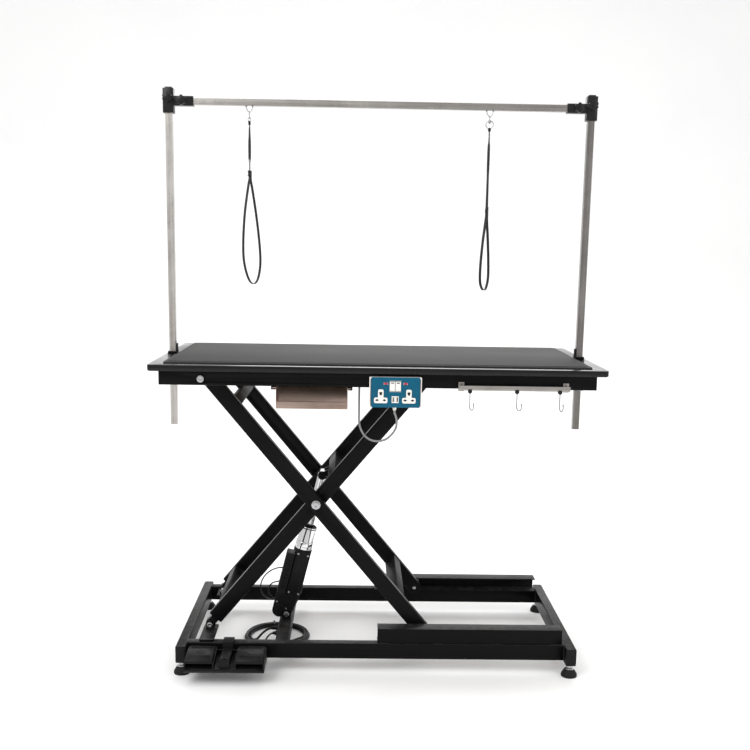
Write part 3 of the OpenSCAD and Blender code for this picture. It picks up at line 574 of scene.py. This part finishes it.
s = snap(-379, "noose_left", "x", EYE - 5.5, EYE - 30)
s.done("noose_left_snap", "zinc", "noose_left", "zinc")
s = snap(316, "noose_right", "x", EYE - 5.5, EYE - 22.6)
s.add(*ring(P(316, POSTY, EYE - 28), .0108, .0013, (.25, 1, 0), 40, 10))
s.done("noose_right_snap", "zinc", "noose_right", "zinc")

# plastic slider and keeper blocks on the straps, and the swivel links in both straps
s = Soup()
s.add(*rbox(P(-379, POSTY, EYE - 36), (.0068, .0088, .0120), .0016, 3))
s.add(*rbox(P(-379, POSTY, EYE - 178), (.0098, .0072, .0180), .0018, 3, Matrix.Rotation(radians(edge - 90), 4, "Z")))
s.add(*rbox(P(-379, POSTY, EYE - 172), (.0112, .0084, .0026), .0009, 3, Matrix.Rotation(radians(edge - 90), 4, "Z")))
s.add(*rbox(P(-379, POSTY, EYE - 184), (.0112, .0084, .0026), .0009, 3, Matrix.Rotation(radians(edge - 90), 4, "Z")))
slide_l = s.done("noose_left_slider", "knob", "noose_left", "black_plastic")
s = Soup()
for z in (-139, -145, -151, -157, -163):
    s.add(*lathe(P(-379, POSTY, EYE + z), (0, 0, -1), [(.0021, 0), (.0027, .0008), (.0027, .0030), (.0021, .0038)], 18))
swivel_l = s.done("noose_left_swivel", "zinc", "noose_left", "zinc")
s = Soup()
s.add(*rbox(P(316, POSTY, EYE - 42.5), (.0072, .0090, .0110), .0022, 3))
s.add(*rbox(P(316, POSTY, EYE - 41), (.0088, .0100, .0046), .0018, 3))
s.add(*rbox(P(316, POSTY, EYE - 273), (.0100, .0074, .0150), .0018, 3, Matrix.Rotation(radians(edge - 90), 4, "Z")))
slide_r = s.done("noose_right_keeper", "knob", "noose_right", "black_plastic")
s = Soup()
for z, r in ((-49, .0026), (-54.5, .0031), (-60.5, .0026), (-66, .0031)):
    s.add(*lathe(P(316, POSTY, EYE + z), (0, 0, -1), [(r * .6, 0), (r, .0009), (r, .0036), (r * .6, .0046)], 18))
swivel_r = s.done("noose_right_swivel", "zinc", "noose_right", "zinc")

# strain reliefs, the coil's tie and the plug
s = Soup()
s.add(*lathe(P(-289, -60, 57), (-1, 0, 0), [(.0064, 0), (.0078, .001), (.0078, .006), (.0060, .0075), (.0060, .0105), (.0052, .012), (.0060, .0135), (.0050, .015),
                                         (.0056, .0165), (.0047, .018), (.0052, .0195), (.0043, .021), (.0047, .0225), (.0040, .024)], 24))
s.add(*lathe(P(-289, -100, 57), (-1, 0, 0), [(.0064, 0), (.0078, .001), (.0078, .006), (.0055, .0075), (.0055, .0105), (.0044, .012), (.0048, .0135), (.0036, .016)], 24))
s.done("lead_glands", "plastic", "base", "cable_black")
s = Soup()
cxx, cyy = -300, 10
for ad in (100, 236):
    a = radians(ad)
    rad = Vector((cos(a), sin(a), 0))
    kk = 1 + .013 * sin(2 * a + .6) + .008 * sin(3 * a + 1)
    c0 = P(cxx + 91 * kk * cos(a), cyy + 91 * kk * sin(a), 7.4)
    pts = []
    for i in range(28):
        b = 2 * pi * i / 28
        e = .5
        px_ = math.copysign(abs(cos(b)) ** e, cos(b)) * .0129
        pz_ = math.copysign(abs(sin(b)) ** e, sin(b)) * .0070
        pts.append(c0 + rad * px_ + Vector((0, 0, pz_)))
    tang = Vector((-sin(a), cos(a), 0))
    v, f = sweep(pts, .0024, .0006, u0=tuple(tang), n=10, closed=True, power=4)
    s.add(v, f)
    s.add(*rbox(c0 + Vector((0, 0, .0078)) + rad * .004, (.0065, .0055, .0042), .0009, 2, Matrix.Rotation(a, 4, "Z")))
tie = s.done("coil_ties", "tie", "base", "cable_black")
R193 = Matrix.Rotation(radians(193), 4, "Z")
pc = P(-385, -121, 11)
s = Soup()
dirp = R193 @ Vector((1, 0, 0))
s.add(*lathe(pc, tuple(dirp), [(.0037, 0), (.0041, .0012), (.0044, .0028), (.0041, .0042), (.0047, .0058), (.0044, .0072), (.0051, .0088), (.0047, .0104), (.0055, .0122),
                               (.0051, .0138), (.0060, .0158), (.0057, .018), (.0078, .0215)], 24))
prof = [(20, 7.6, 6.4), (23, 11.2, 8.6), (28, 13.2, 10.2), (36, 13.4, 10.8), (44, 13.2, 10.8), (50, 12.9, 10.6), (53.4, 12.2, 10.0), (54, 11.4, 9.2)]
pts = [pc + dirp * (q[0] * .001) for q in prof]
s.add(*sweep(pts, [q[1] * .001 for q in prof], [q[2] * .001 for q in prof], u0=tuple(R193 @ Vector((0, 1, 0))), n=28, power=3.4))
for k in range(5):
    for side in (-1, 1):
        s.add(*rbox(pc + dirp * (.030 + k * .0035) + R193 @ Vector((0, side * .0131, 0)), (.0014, .0016, .013), .0005, 2, R193))
plug = s.done("mains_plug_body", "rubber", "base", "rubber")
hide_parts("mains_plug")
s = Soup()
for k in (-7, 7):
    s.add(*lathe(pc + dirp * .053 + R193 @ Vector((0, k * .001, 0)), tuple(dirp), [(.0024, 0), (.0024, .0155), (.0021, .0172), (.0014, .0184), (.0005, .0189)], 20))
pins = s.done("mains_plug_pins", "zinc", "base", "zinc")
print("LEN nooses %.3f %.3f socket %.3f pedal %.3f mains %.3f" % (length(nl_path), length(nr_path), length(sock), length(ped), length(mains)))


# ---------------------------------------------------------------- CAD nodes: materials and softened edges
def finish_node(names, mat, bev=.0007):
    for n in names.split():
        o = N[n]
        o.data.materials.clear()
        o.data.materials.append(M[mat])
        if bev:
            w = o.modifiers.new("weld", "WELD")
            w.merge_threshold = 2e-6
            b = o.modifiers.new("edges", "BEVEL")
            b.width, b.segments, b.limit_method, b.angle_limit = bev, 2, "ANGLE", radians(42)
            b.use_clamp_overlap = True
            b.harden_normals = False
        for p in o.data.polygons:
            p.use_smooth = True
        o.data.set_sharp_from_angle(angle=radians(30))


def paint(node, mat, test):
    """Gives the faces of a node that pass the test a second finish."""
    o = N[node]
    o.data.materials.append(M[mat])
    k = len(o.data.materials) - 1
    for p in o.data.polygons:
        if test(p.center * 1000):
            p.material_index = k


finish_node("base_long_rails base_end_rails base_channels base_cross_tube base_brackets outer_arms inner_arms actuator_lug sub_frame_rails top_channels", "frame", .0006)
# these parts get the painted-shade copy of the frame black
finish_node("outer_ties inner_ties sub_frame_ends tray_runners", "frame_shaded", .0006)
finish_node("base_pins outer_bolts upper_axles top_pivot_bolts", "zinc", .0004)
finish_node("base_end_plugs pedal_base pedal_left pedal_right actuator_body post_holders", "plastic", .0009)
finish_node("holder_knob_left holder_knob_right clamps post_knob_left post_knob_right bar_knob_left bar_knob_right", "knob", .0009)
finish_node("posts", "steel_z", 0)
finish_node("crossbar", "steel_x", 0)
finish_node("tool_tray", "tray", .0003)
finish_node("actuator_tube", "chrome", .0006)
finish_node("actuator_rod", "rod", .0006)
finish_node("feet", "rubber", .0008)
finish_node("table_board", "board", 0)
finish_node("table_rim", "rim", .0012)
finish_node("mat", "mat", .0006)
finish_node("lower_rollers upper_rollers", "nylon", .0006)
finish_node("socket_panel", "teal", .0006)
finish_node("socket_box socket_outlets rocker_left rocker_right", "white", .0005)
finish_node("hook_rail", "alu", .0006)
paint("feet", "zinc", lambda c: c.z > 21.9)
paint("posts", "plastic", lambda c: c.z < 683.1 or c.z > 1656.8)

TH = radians(50.16)
TOPZ = 857.949
CX, CZ = -171.973, 483.975


def arm_pt(body, s, h, y):
    """Point on an arm: s along it from its left end, h above its middle line."""
    if body == "inner":
        return P(-484 + s * cos(TH) - h * sin(TH), y, 110 + s * sin(TH) + h * cos(TH))
    return P(-484 + s * cos(TH) + h * sin(TH), y, TOPZ - s * sin(TH) + h * cos(TH))


# ---------------------------------------------------------------- weld beads
def bead(s, pts, r=2.1, per=3.2):
    ln = sum((b - a).length for a, b in zip(pts, pts[1:])) * 1000
    dense = []
    for a, b in zip(pts, pts[1:]):
        k = max(2, int((b - a).length * 1000 / (per / 4)))
        dense += [a.lerp(b, i / k) for i in range(k)]
    dense.append(pts[-1])
    rr_ = []
    d = 0
    for i, p in enumerate(dense):
        if i:
            d += (p - dense[i - 1]).length * 1000
        e = min(1, min(d, ln - d) / 2.5 + .25)
        rr_.append((r * (.86 + .16 * abs(sin(pi * d / per)) + .05 * sin(d * .7))) * .001 * e)
    v, f = sweep(dense, rr_, n=8, u0=(.3, .5, .8))
    s.add(v, f)


s = Soup()
for x in (-537, 553):
    for k in (-1, 1):
        bead(s, [P(x, k * 254.1, 43.5), P(x, k * 254.1, 87.2)])
        bead(s, [P(x, k * 252.5, 87.9), P(x, k * 225.5, 87.9)])
        bead(s, [P(x, k * 223.9, 43.5), P(x, k * 223.9, 87.0)])
for k in (-1, 1):
    for x0, x1 in ((14, 44), (170, 200), (340, 370), (510, 541)):
        bead(s, [P(x0, k * 250.2, 88.4), P(x1, k * 250.2, 88.4)], 1.7)
    for x0, x1 in ((-503, -465),):
        bead(s, [P(x0, k * 166, 94.2), P(x1, k * 166, 94.2)], 1.8)
    for x in (-290, -250):
        bead(s, [P(x, k * 224, 44), P(x, k * 224, 71)], 1.9)
s.done("base_welds", "weld", "base", "frame_black")
s = Soup()
for q, h0, h1 in ((115, -18, 18), (974.1 - 115, -18, 18)):
    for k in (-1, 1):
        for dq in (-15, 15):
            bead(s, [arm_pt("outer", q + dq, h0, k * 170), arm_pt("outer", q + dq, h1, k * 170)], 1.9)
s.done("outer_arm_welds", "weld", "outer_frame", "frame_black")
s = Soup()
for q in (72, 487.05 + 86):
    for k in (-1, 1):
        for dq in (-15, 15):
            bead(s, [arm_pt("inner", q + dq, -17, k * 140), arm_pt("inner", q + dq, 19, k * 140)], 1.9)
s.done("inner_arm_welds", "weld", "inner_frame", "frame_black")
s = Soup()
for x in (-598 + 25, -532 - 12.5, -532 + 12.5, 512.5 - 12.5, 512.5 + 12.5, 598 - 25):
    for k in (-1, 1):
        bead(s, [P(x, k * 261, 842), P(x, k * 261, 878)], 1.7)
for k in (-1, 1):
    for x0, x1 in ((14, 44), (240, 270), (465, 496)):
        bead(s, [P(x0, k * 206.2, 878.6), P(x1, k * 206.2, 878.6)], 1.6)
s.done("sub_frame_welds", "weld", "table", "frame_black")

# ---------------------------------------------------------------- foot pedal: ribs and arrows
for side, x0 in (("left", -528.5), ("right", -386.5)):
    s = Soup()
    top = lambda y: 82 - 4 * (-262.5 - y) / 76.0
    for i, y in enumerate((-268, -272, -276, -324, -328, -332)):
        s.add(*rbox(P(x0 + 37.5, y, top(y) + .25), (.061, .0018, .0012), .0005, 2))
    xc, d = x0 + 37.5, (1 if side == "left" else -1)
    yc = -300
    tri = [(-17, -d * 2), (0, d * 15), (17, -d * 2), (10.5, -d * 2), (0, d * 8.2), (-10.5, -d * 2)]
    v = [P(xc + a, yc + b, top(yc + b) - .3) for a, b in tri] + [P(xc + a * .96, yc + b * .96, top(yc + b) + .9) for a, b in tri]
    f = [[i, (i + 1) % 6, 6 + (i + 1) % 6, 6 + i] for i in range(6)] + [[0, 1, 4, 5], [1, 2, 3, 4], [6, 11, 10, 7], [7, 10, 9, 8]]
    s.add(v, f)
    s.add(*rbox(P(xc, yc - d * 8, top(yc) + .2), (.021, .0034, .0014), .0006, 2))
    for a, b, sx, sy in ((x0 + 3.6, -300, .0016, .066), (x0 + 71.4, -300, .0016, .066)):
        s.add(*rbox(P(a, b, top(b) + .15), (sx, sy, .0011), .0005, 2, Matrix.Rotation(math.atan(4 / 76), 4, "X")))
    s.done("pedal_%s_tread" % side, "plastic", "pedal_" + side, "black_plastic")
s = Soup()
s.add(*rbox(P(-420, -300, 74.0), (.0235, .078, .0030), .0012, 3))
s.add(*lathe(P(-420, -334, 75.4), (0, 0, 1), [(.0046, 0), (.0046, .0012), (.0038, .0022), (.0012, .0024)], 24))
s.add(*rbox(P(-420, -349.8, 47), (.190, .0022, .0060), .0009, 2))
for x in (-500, -340):
    s.add(*rbox(P(x, -351.2, 44.5), (.030, .0026, .0040), .0009, 2))
s.done("pedal_trim", "plastic", "base", "black_plastic")
s = Soup()
s.add(*lathe(P(-352, -270, 39), (0, 0, -1), [(.0052, 0), (.0056, .0008), (.0052, .003), (.0042, .0038), (.0045, .005), (.0036, .006), (.0040, .0072), (.0031, .0086)], 22))
s.done("pedal_lead_relief", "plastic", "base", "cable_black")

# ---------------------------------------------------------------- actuator: collar, seal, screws and seams
AA = radians(76.19)
AX = Vector((cos(AA), 0, sin(AA)))
AN = Vector((-sin(AA), 0, cos(AA)))


def act(l, h=0, y=0):
    return P(-268, y, 92) + AX * (l * .001) + AN * (h * .001)


s = Soup()
prof = [(.0252, 0), (.0268, .0008), (.0268, .0050), (.0260, .0058), (.0260, .0070), (.0268, .0078), (.0268, .0200), (.0262, .0212), (.0252, .0218)]
s.add(*lathe(act(213), tuple(AX), prof, 56, closed_prof=True))
s.done("actuator_collar", "chrome", "actuator", "stainless")
s = Soup()
s.add(*lathe(act(276), tuple(AX), [(.0251, 0), (.0256, .0006), (.0256, .0024), (.0251, .003)], 48, closed_prof=True))
prof = [(.0234, 0), (.0246, .0004), (.0248, .003), (.0232, .0048), (.0215, .0048), (.0215, 0)]
s.add(*lathe(act(279.6), tuple(AX), prof, 48, closed_prof=True))
s.done("actuator_seal", "rubber", "actuator", "rubber")
s = Soup()
for l in (66, 128, 190):
    for k in (-1, 1):
        s.add(*rbox(act(l, -5, k * 28.0), (.0016, .0010, .036), .0004, 2, Matrix.Rotation(pi / 2 - AA, 4, "Y") @ Matrix.Rotation(-pi / 2, 4, "Y")))
for i in range(9):
    s.add(*rbox(act(74 + i * 14, 46.2), (.0050, .034, .0018), .0007, 2, Matrix.Rotation(-AA, 4, "Y")))
for k in (-1, 1):
    s.add(*rbox(act(126, 14.5, k * 27.6), (.132, .0014, .0030), .0006, 2, Matrix.Rotation(-AA, 4, "Y")))
s.done("actuator_ribs", "plastic", "actuator", "black_plastic")
s = Soup()
for l, h in ((70, -20), (70, 10), (196, -20), (196, 10), (30, 38), (14, 6)):
    for k in (-1, 1):
        yy = 28.05 if l > 60 else 25.6
        s.add(*lathe(act(l, h, k * yy), (0, k, 0), [(.0030, -.0004), (.0032, .0004), (.0028, .0014), (.0016, .0017), (.0015, .0006), (.0004, .0006)], 18))
s.done("actuator_screws", "zinc", "actuator", "zinc")
# spare lead of the motor, looped twice behind the housing
s = Soup()
wire(s, [(-290, 4, 166), (-293, 6, 148), (-303, 14, 128), (-325, 26, 119), (-347, 34, 132), (-354, 38, 158), (-343, 40, 188), (-318, 41, 210), (-287, 42, 218),
         (-255, 42, 210), (-232, 41, 190), (-222, 40, 163), (-228, 39, 136), (-248, 39, 114), (-275, 39, 107), (-302, 33, 112), (-320, 22, 130), (-326, 12, 156),
         (-316, 6, 178), (-292, 3, 187)], 2.1, n=14, steps=6)
s.add(*rbox(P(-292.5, 5, 160), (.0080, .0080, .0075), .0014, 2))
s.done("actuator_lead_loop", "black_cable", "actuator", "cable_black")
# motor cover cap at the lower end, a ribbed round housing beside the gearbox
s = Soup()
prof = [(.0190, 0), (.0205, .0008), (.0205, .0030), (.0192, .0042), (.0176, .0042), (.0170, .0034), (.0090, .0034), (.0084, .0044), (.0040, .0044), (.0004, .0042)]
for k in (-1, 1):
    s.add(*lathe(act(4, 24, k * 23.8), (0, k, 0), prof, 40))
s.done("actuator_end_caps", "plastic", "actuator", "black_plastic")

# ---------------------------------------------------------------- socket plate
SY = -320
TZ = SZ0 + 12
RKZ = SZ0 + 58
s = Soup()
for x in (SXC - 39.8, SXC + 36.2):
    for k in (-1, 1):
        s.add(*rbox(P(x + k * 10, SY + 1.1, TZ + 8), (.0086, .0006, .0026), .0002, 1))
        s.add(*lathe(P(x + k * 10, SY + 1.4, TZ + 8), (0, -1, 0), [(.0029, 0), (.0029, .0006), (.0001, .0006)], 24))
    s.add(*rbox(P(x, SY + 1.1, TZ + 26), (.0062, .0006, .0088), .0002, 1))
    s.add(*rbox(P(x, SY + .9, TZ + 28), (.0088, .0006, .0028), .0002, 1))
for x in (SXC - 5.9, SXC + 4.3):
    s.add(*rbox(P(x, SY + 3, SZ0 + 22), (.0054, .0006, .0126), .0002, 1))
s.done("socket_shutters", "hole", "table", "black_plastic")
s = Soup()
for x in (SXC - 5.9, SXC + 4.3):
    s.add(*rbox(P(x - 1.0, SY + 1.2, SZ0 + 22), (.0016, .0034, .0108), .0003, 2))
for x in (SXC - 8.9, SXC + 6.9):
    for zz in (-14.3, 14.3):
        s.add(*rbox(P(x, SY - .4, RKZ + zz), (.0160, .0012, .0010), .0003, 2))
s.done("socket_tongues", "white", "table", "outlet_white")
for nm, x in (("rocker_left", SXC - 8.9), ("rocker_right", SXC + 6.9)):
    s = Soup()
    s.add(*rbox(P(x, SY - 4.35, RKZ + 9.3), (.0078, .0008, .0022), .0003, 2, Matrix.Rotation(radians(13), 4, "X")))
    s.done(nm + "_mark", "hole", nm, "black_plastic")
s = Soup()
for x in (SXC - 26.7, SXC + 26.7):
    v, f = lathe((0, 0, 0), (0, -1, 0), [(.0064, -.0006), (.0066, .0006), (.0060, .0015), (.0042, .0022), (.0018, .0026), (.0002, .0027)], 32)
    s.add([Vector((a.x, a.y, a.z * .46)) + P(x, SY - .3, SZ0 + 65.3) for a in v], f)
s.done("socket_lamps", "red", "table", "panel_teal")
s = Soup()
s.add(*lathe(P(44, -305, SZ0 + 1), (0, 0, -1), [(.0062, 0), (.0066, .0010), (.0064, .0034), (.0050, .0044), (.0054, .0058), (.0043, .007), (.0047, .0086), (.0037, .0104)], 26))
s.done("socket_gland", "white", "table", "outlet_white")

# ---------------------------------------------------------------- rail hooks
HY, HZ0, HZ1 = -306, 838.949, 851.949
for nm, x, ang in (("a", 248, 38), ("b", 376, 52), ("c", 493, 30)):
    s = Soup()
    ca, sa = sin(radians(ang)), -cos(radians(ang))
    J = lambda a, z: (x + a * ca, HY - 4 + a * sa, z)
    wire(s, [J(0, 834), J(0, 822), J(0, 810), J(-.6, 800), J(.2, 793), J(3.4, 787.6), J(8, 786), J(12.6, 788.6), J(15, 795), J(14.6, 803)], 1.35, n=12, u0=(0, 1, 0), steps=5)
    e = P(*J(14.6, 803))
    s.add(*lathe(e, (0, 0, 1), [(.0015, -.001), (.0021, .0002), (.0023, .0014), (.0017, .0026), (.0003, .003)], 16))
    h = s.done("rail_hook_%s_wire" % nm, "steel_x", "hook_" + nm, "zinc")
    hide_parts("rail_hook_" + nm)
    s = Soup()
    s.add(*rbox(P(x, HY - 2, HZ0 - 3.2), (.0114, .0098, .0060), .0016, 3))
    s.add(*rbox(P(x, HY - 5.5, HZ0 - .4), (.0106, .0024, .0072), .0010, 3))
    s.add(*rbox(P(x, HY + 1.6, HZ0 + 3.5), (.0106, .0024, .0150), .0010, 3))
    s.add(*lathe(P(*J(0, HZ0 - 5)), (0, 0, -1), [(.0036, 0), (.0036, .0012), (.0026, .0026), (.0018, .0036)], 20))
    s.done("rail_hook_%s_clip" % nm, "weld", "hook_" + nm, "zinc")

# ---------------------------------------------------------------- knob centres, caps and small fixings
BAR = 902.949 + 719
for nm, p, ax in (("holder_knob_left", P(-642.2, 10, TOPZ), (-1, 0, 0)), ("holder_knob_right", P(642.2, 10, TOPZ), (1, 0, 0)),
                  ("post_knob_left", P(-610, -24, BAR + 6), (0, -1, 0)), ("post_knob_right", P(610, -24, BAR + 6), (0, -1, 0)),
                  ("bar_knob_left", P(-570, -22.5, BAR), (0, -1, 0)), ("bar_knob_right", P(570, -22.5, BAR), (0, -1, 0))):
    s = Soup()
    k = -.0105 if "holder" in nm else 0
    s.add(*lathe(p, ax, [(.0058, -.0014), (.0062, -.0002), (.0056, .0012), (.0036, .0015), (.0033, .0006), (.0003, .0005)], 26))
    s.done(nm + "_cap", "knob", nm, "black_plastic")
s = Soup()
for x in (-598, 598):
    for y in (-230, 0, 230):
        sx = 1 if x > 0 else -1
for x, y in ((-558, -273.5), (558, -273.5), (-558, 273.5), (558, 273.5)):
    s.add(*lathe(P(x, y, 839.6), (0, 0, -1), [(.0052, -.0004), (.0056, .0006), (.0050, .0022), (.0028, .0026), (.0026, .0012), (.0003, .0012)], 22))
for x in (-470, -240, 0, 240, 470):
    for y in (-273.5, 273.5):
        s.add(*lathe(P(x, y, 839.9), (0, 0, -1), [(.0034, -.0006), (.0036, .0004), (.0030, .0014), (.0014, .0017)], 18))
s.done("sub_frame_screws", "zinc", "table", "zinc")
# hemmed lip of the tray
s = Soup()
x0, x1 = -276, -276 + 188
y0, y1 = -288, -286 + 76
tz0 = 839.949 - 2 - 59
lip = [P(x0 + 1, y1 - .8, tz0 + 55), P(x0 + 1, y1 - .8, tz0 + 56)]
for a, b, sz in (((x0 + x1) / 2, y1 - .75, (x1 - x0) * .001), ((x0 + x1) / 2, y0 + 4.6, (x1 - x0 - 4) * .001)):
    z = tz0 + (55.1 if b > y0 + 20 else 18.6)
    s.add(*rbox(P(a, b, z), (sz, .0024, .0022), .0009, 3))
for k in (-1, 1):
    xx = (x0 + .75) if k < 0 else (x1 - .75)
    s.add(*rbox(P(xx, (y0 + y1) / 2, tz0 + 56.6), (.0021, .072, .0019), .0008, 3))
s.done("tray_hems", "tray", "tray", "stainless")

# a soft raised bead along the inner edge of the rim, where the border meets the mat
s = Soup()
hx, hy, rr0 = 625 - 37.5, 310 - 37.5, 5
loop = []
for cxq, cyq, a0 in ((hx - rr0, hy - rr0, 0), (-hx + rr0, hy - rr0, 90), (-hx + rr0, -hy + rr0, 180), (hx - rr0, -hy + rr0, 270)):
    for i in range(7):
        a = radians(a0 + i * 15)
        loop.append(P(cxq + rr0 * cos(a), cyq + rr0 * sin(a), 896.9))
dense = []
for a, b in zip(loop, loop[1:] + loop[:1]):
    k = max(1, int((b - a).length / .05))
    dense += [a.lerp(b, i / k) for i in range(k)]
s.add(*sweep(dense, .0014, .0009, u0=(0, 0, 1), n=10, closed=True))
s.done("rim_bead", "rim", "table", "gloss_rim")

# ---------------------------------------------------------------- floor, light
def floor_mat():
    m, t, b, L = base_tree("studio_floor")
    vec = mapped(t, L, (1, 1, 1))
    n = noise(t, L, vec, 1.6, 3)
    L(ramp(t, L, n, [(.3, (.93, .93, .93)), (.7, (.955, .955, .95))]), b.inputs["Base Color"])
    b.inputs["Roughness"].default_value = .75
    b.inputs["Specular IOR Level"].default_value = .2
    return m


prof = [(-7, 0), (3.2, 0)] + [(3.2 + 1.6 * sin(radians(a)), 1.6 - 1.6 * cos(radians(a))) for a in range(6, 91, 6)] + [(4.8, 7)]
v, f = [], []
for y, z in prof:
    v += [(-9, y, z), (9, y, z)]
for i in range(len(prof) - 1):
    f.append([2 * i, 2 * i + 1, 2 * i + 3, 2 * i + 2])
me = bpy.data.meshes.new("floor")
me.from_pydata(v, [], f)
me.shade_smooth()
me.materials.append(floor_mat())
fl = bpy.data.objects.new("floor", me)
SC.collection.objects.link(fl)

world = bpy.data.worlds.new("world")
SC.world = world
world.use_nodes = True
world.node_tree.nodes["Background"].inputs[0].default_value = (1, 1, 1, 1)
world.node_tree.nodes["Background"].inputs[1].default_value = .80


def area(name, loc, look, size, power, color=(1, 1, 1), size_y=None):
    d = bpy.data.lights.new(name, "AREA")
    d.energy, d.color = power, color
    d.shape = "RECTANGLE"
    d.size, d.size_y = size, size_y or size
    o = bpy.data.objects.new(name, d)
    SC.collection.objects.link(o)
    o.location = loc
    o.rotation_euler = (Vector(look) - Vector(loc)).to_track_quat("-Z", "Y").to_euler()
    return o


area("key", (-2.2, -2.6, 3.4), (0, 0, .6), 2.2, 75)
area("fill", (2.8, -2.2, 2.0), (0, 0, .7), 2.0, 22)
area("top", (0, .4, 3.9), (0, 0, .8), 3.2, 62, size_y=2.2)
area("back", (.4, 3.0, 3.2), (0, .6, .6), 3.0, 55)
SC.view_settings.view_transform = "Standard"
SC.view_settings.look = "None"
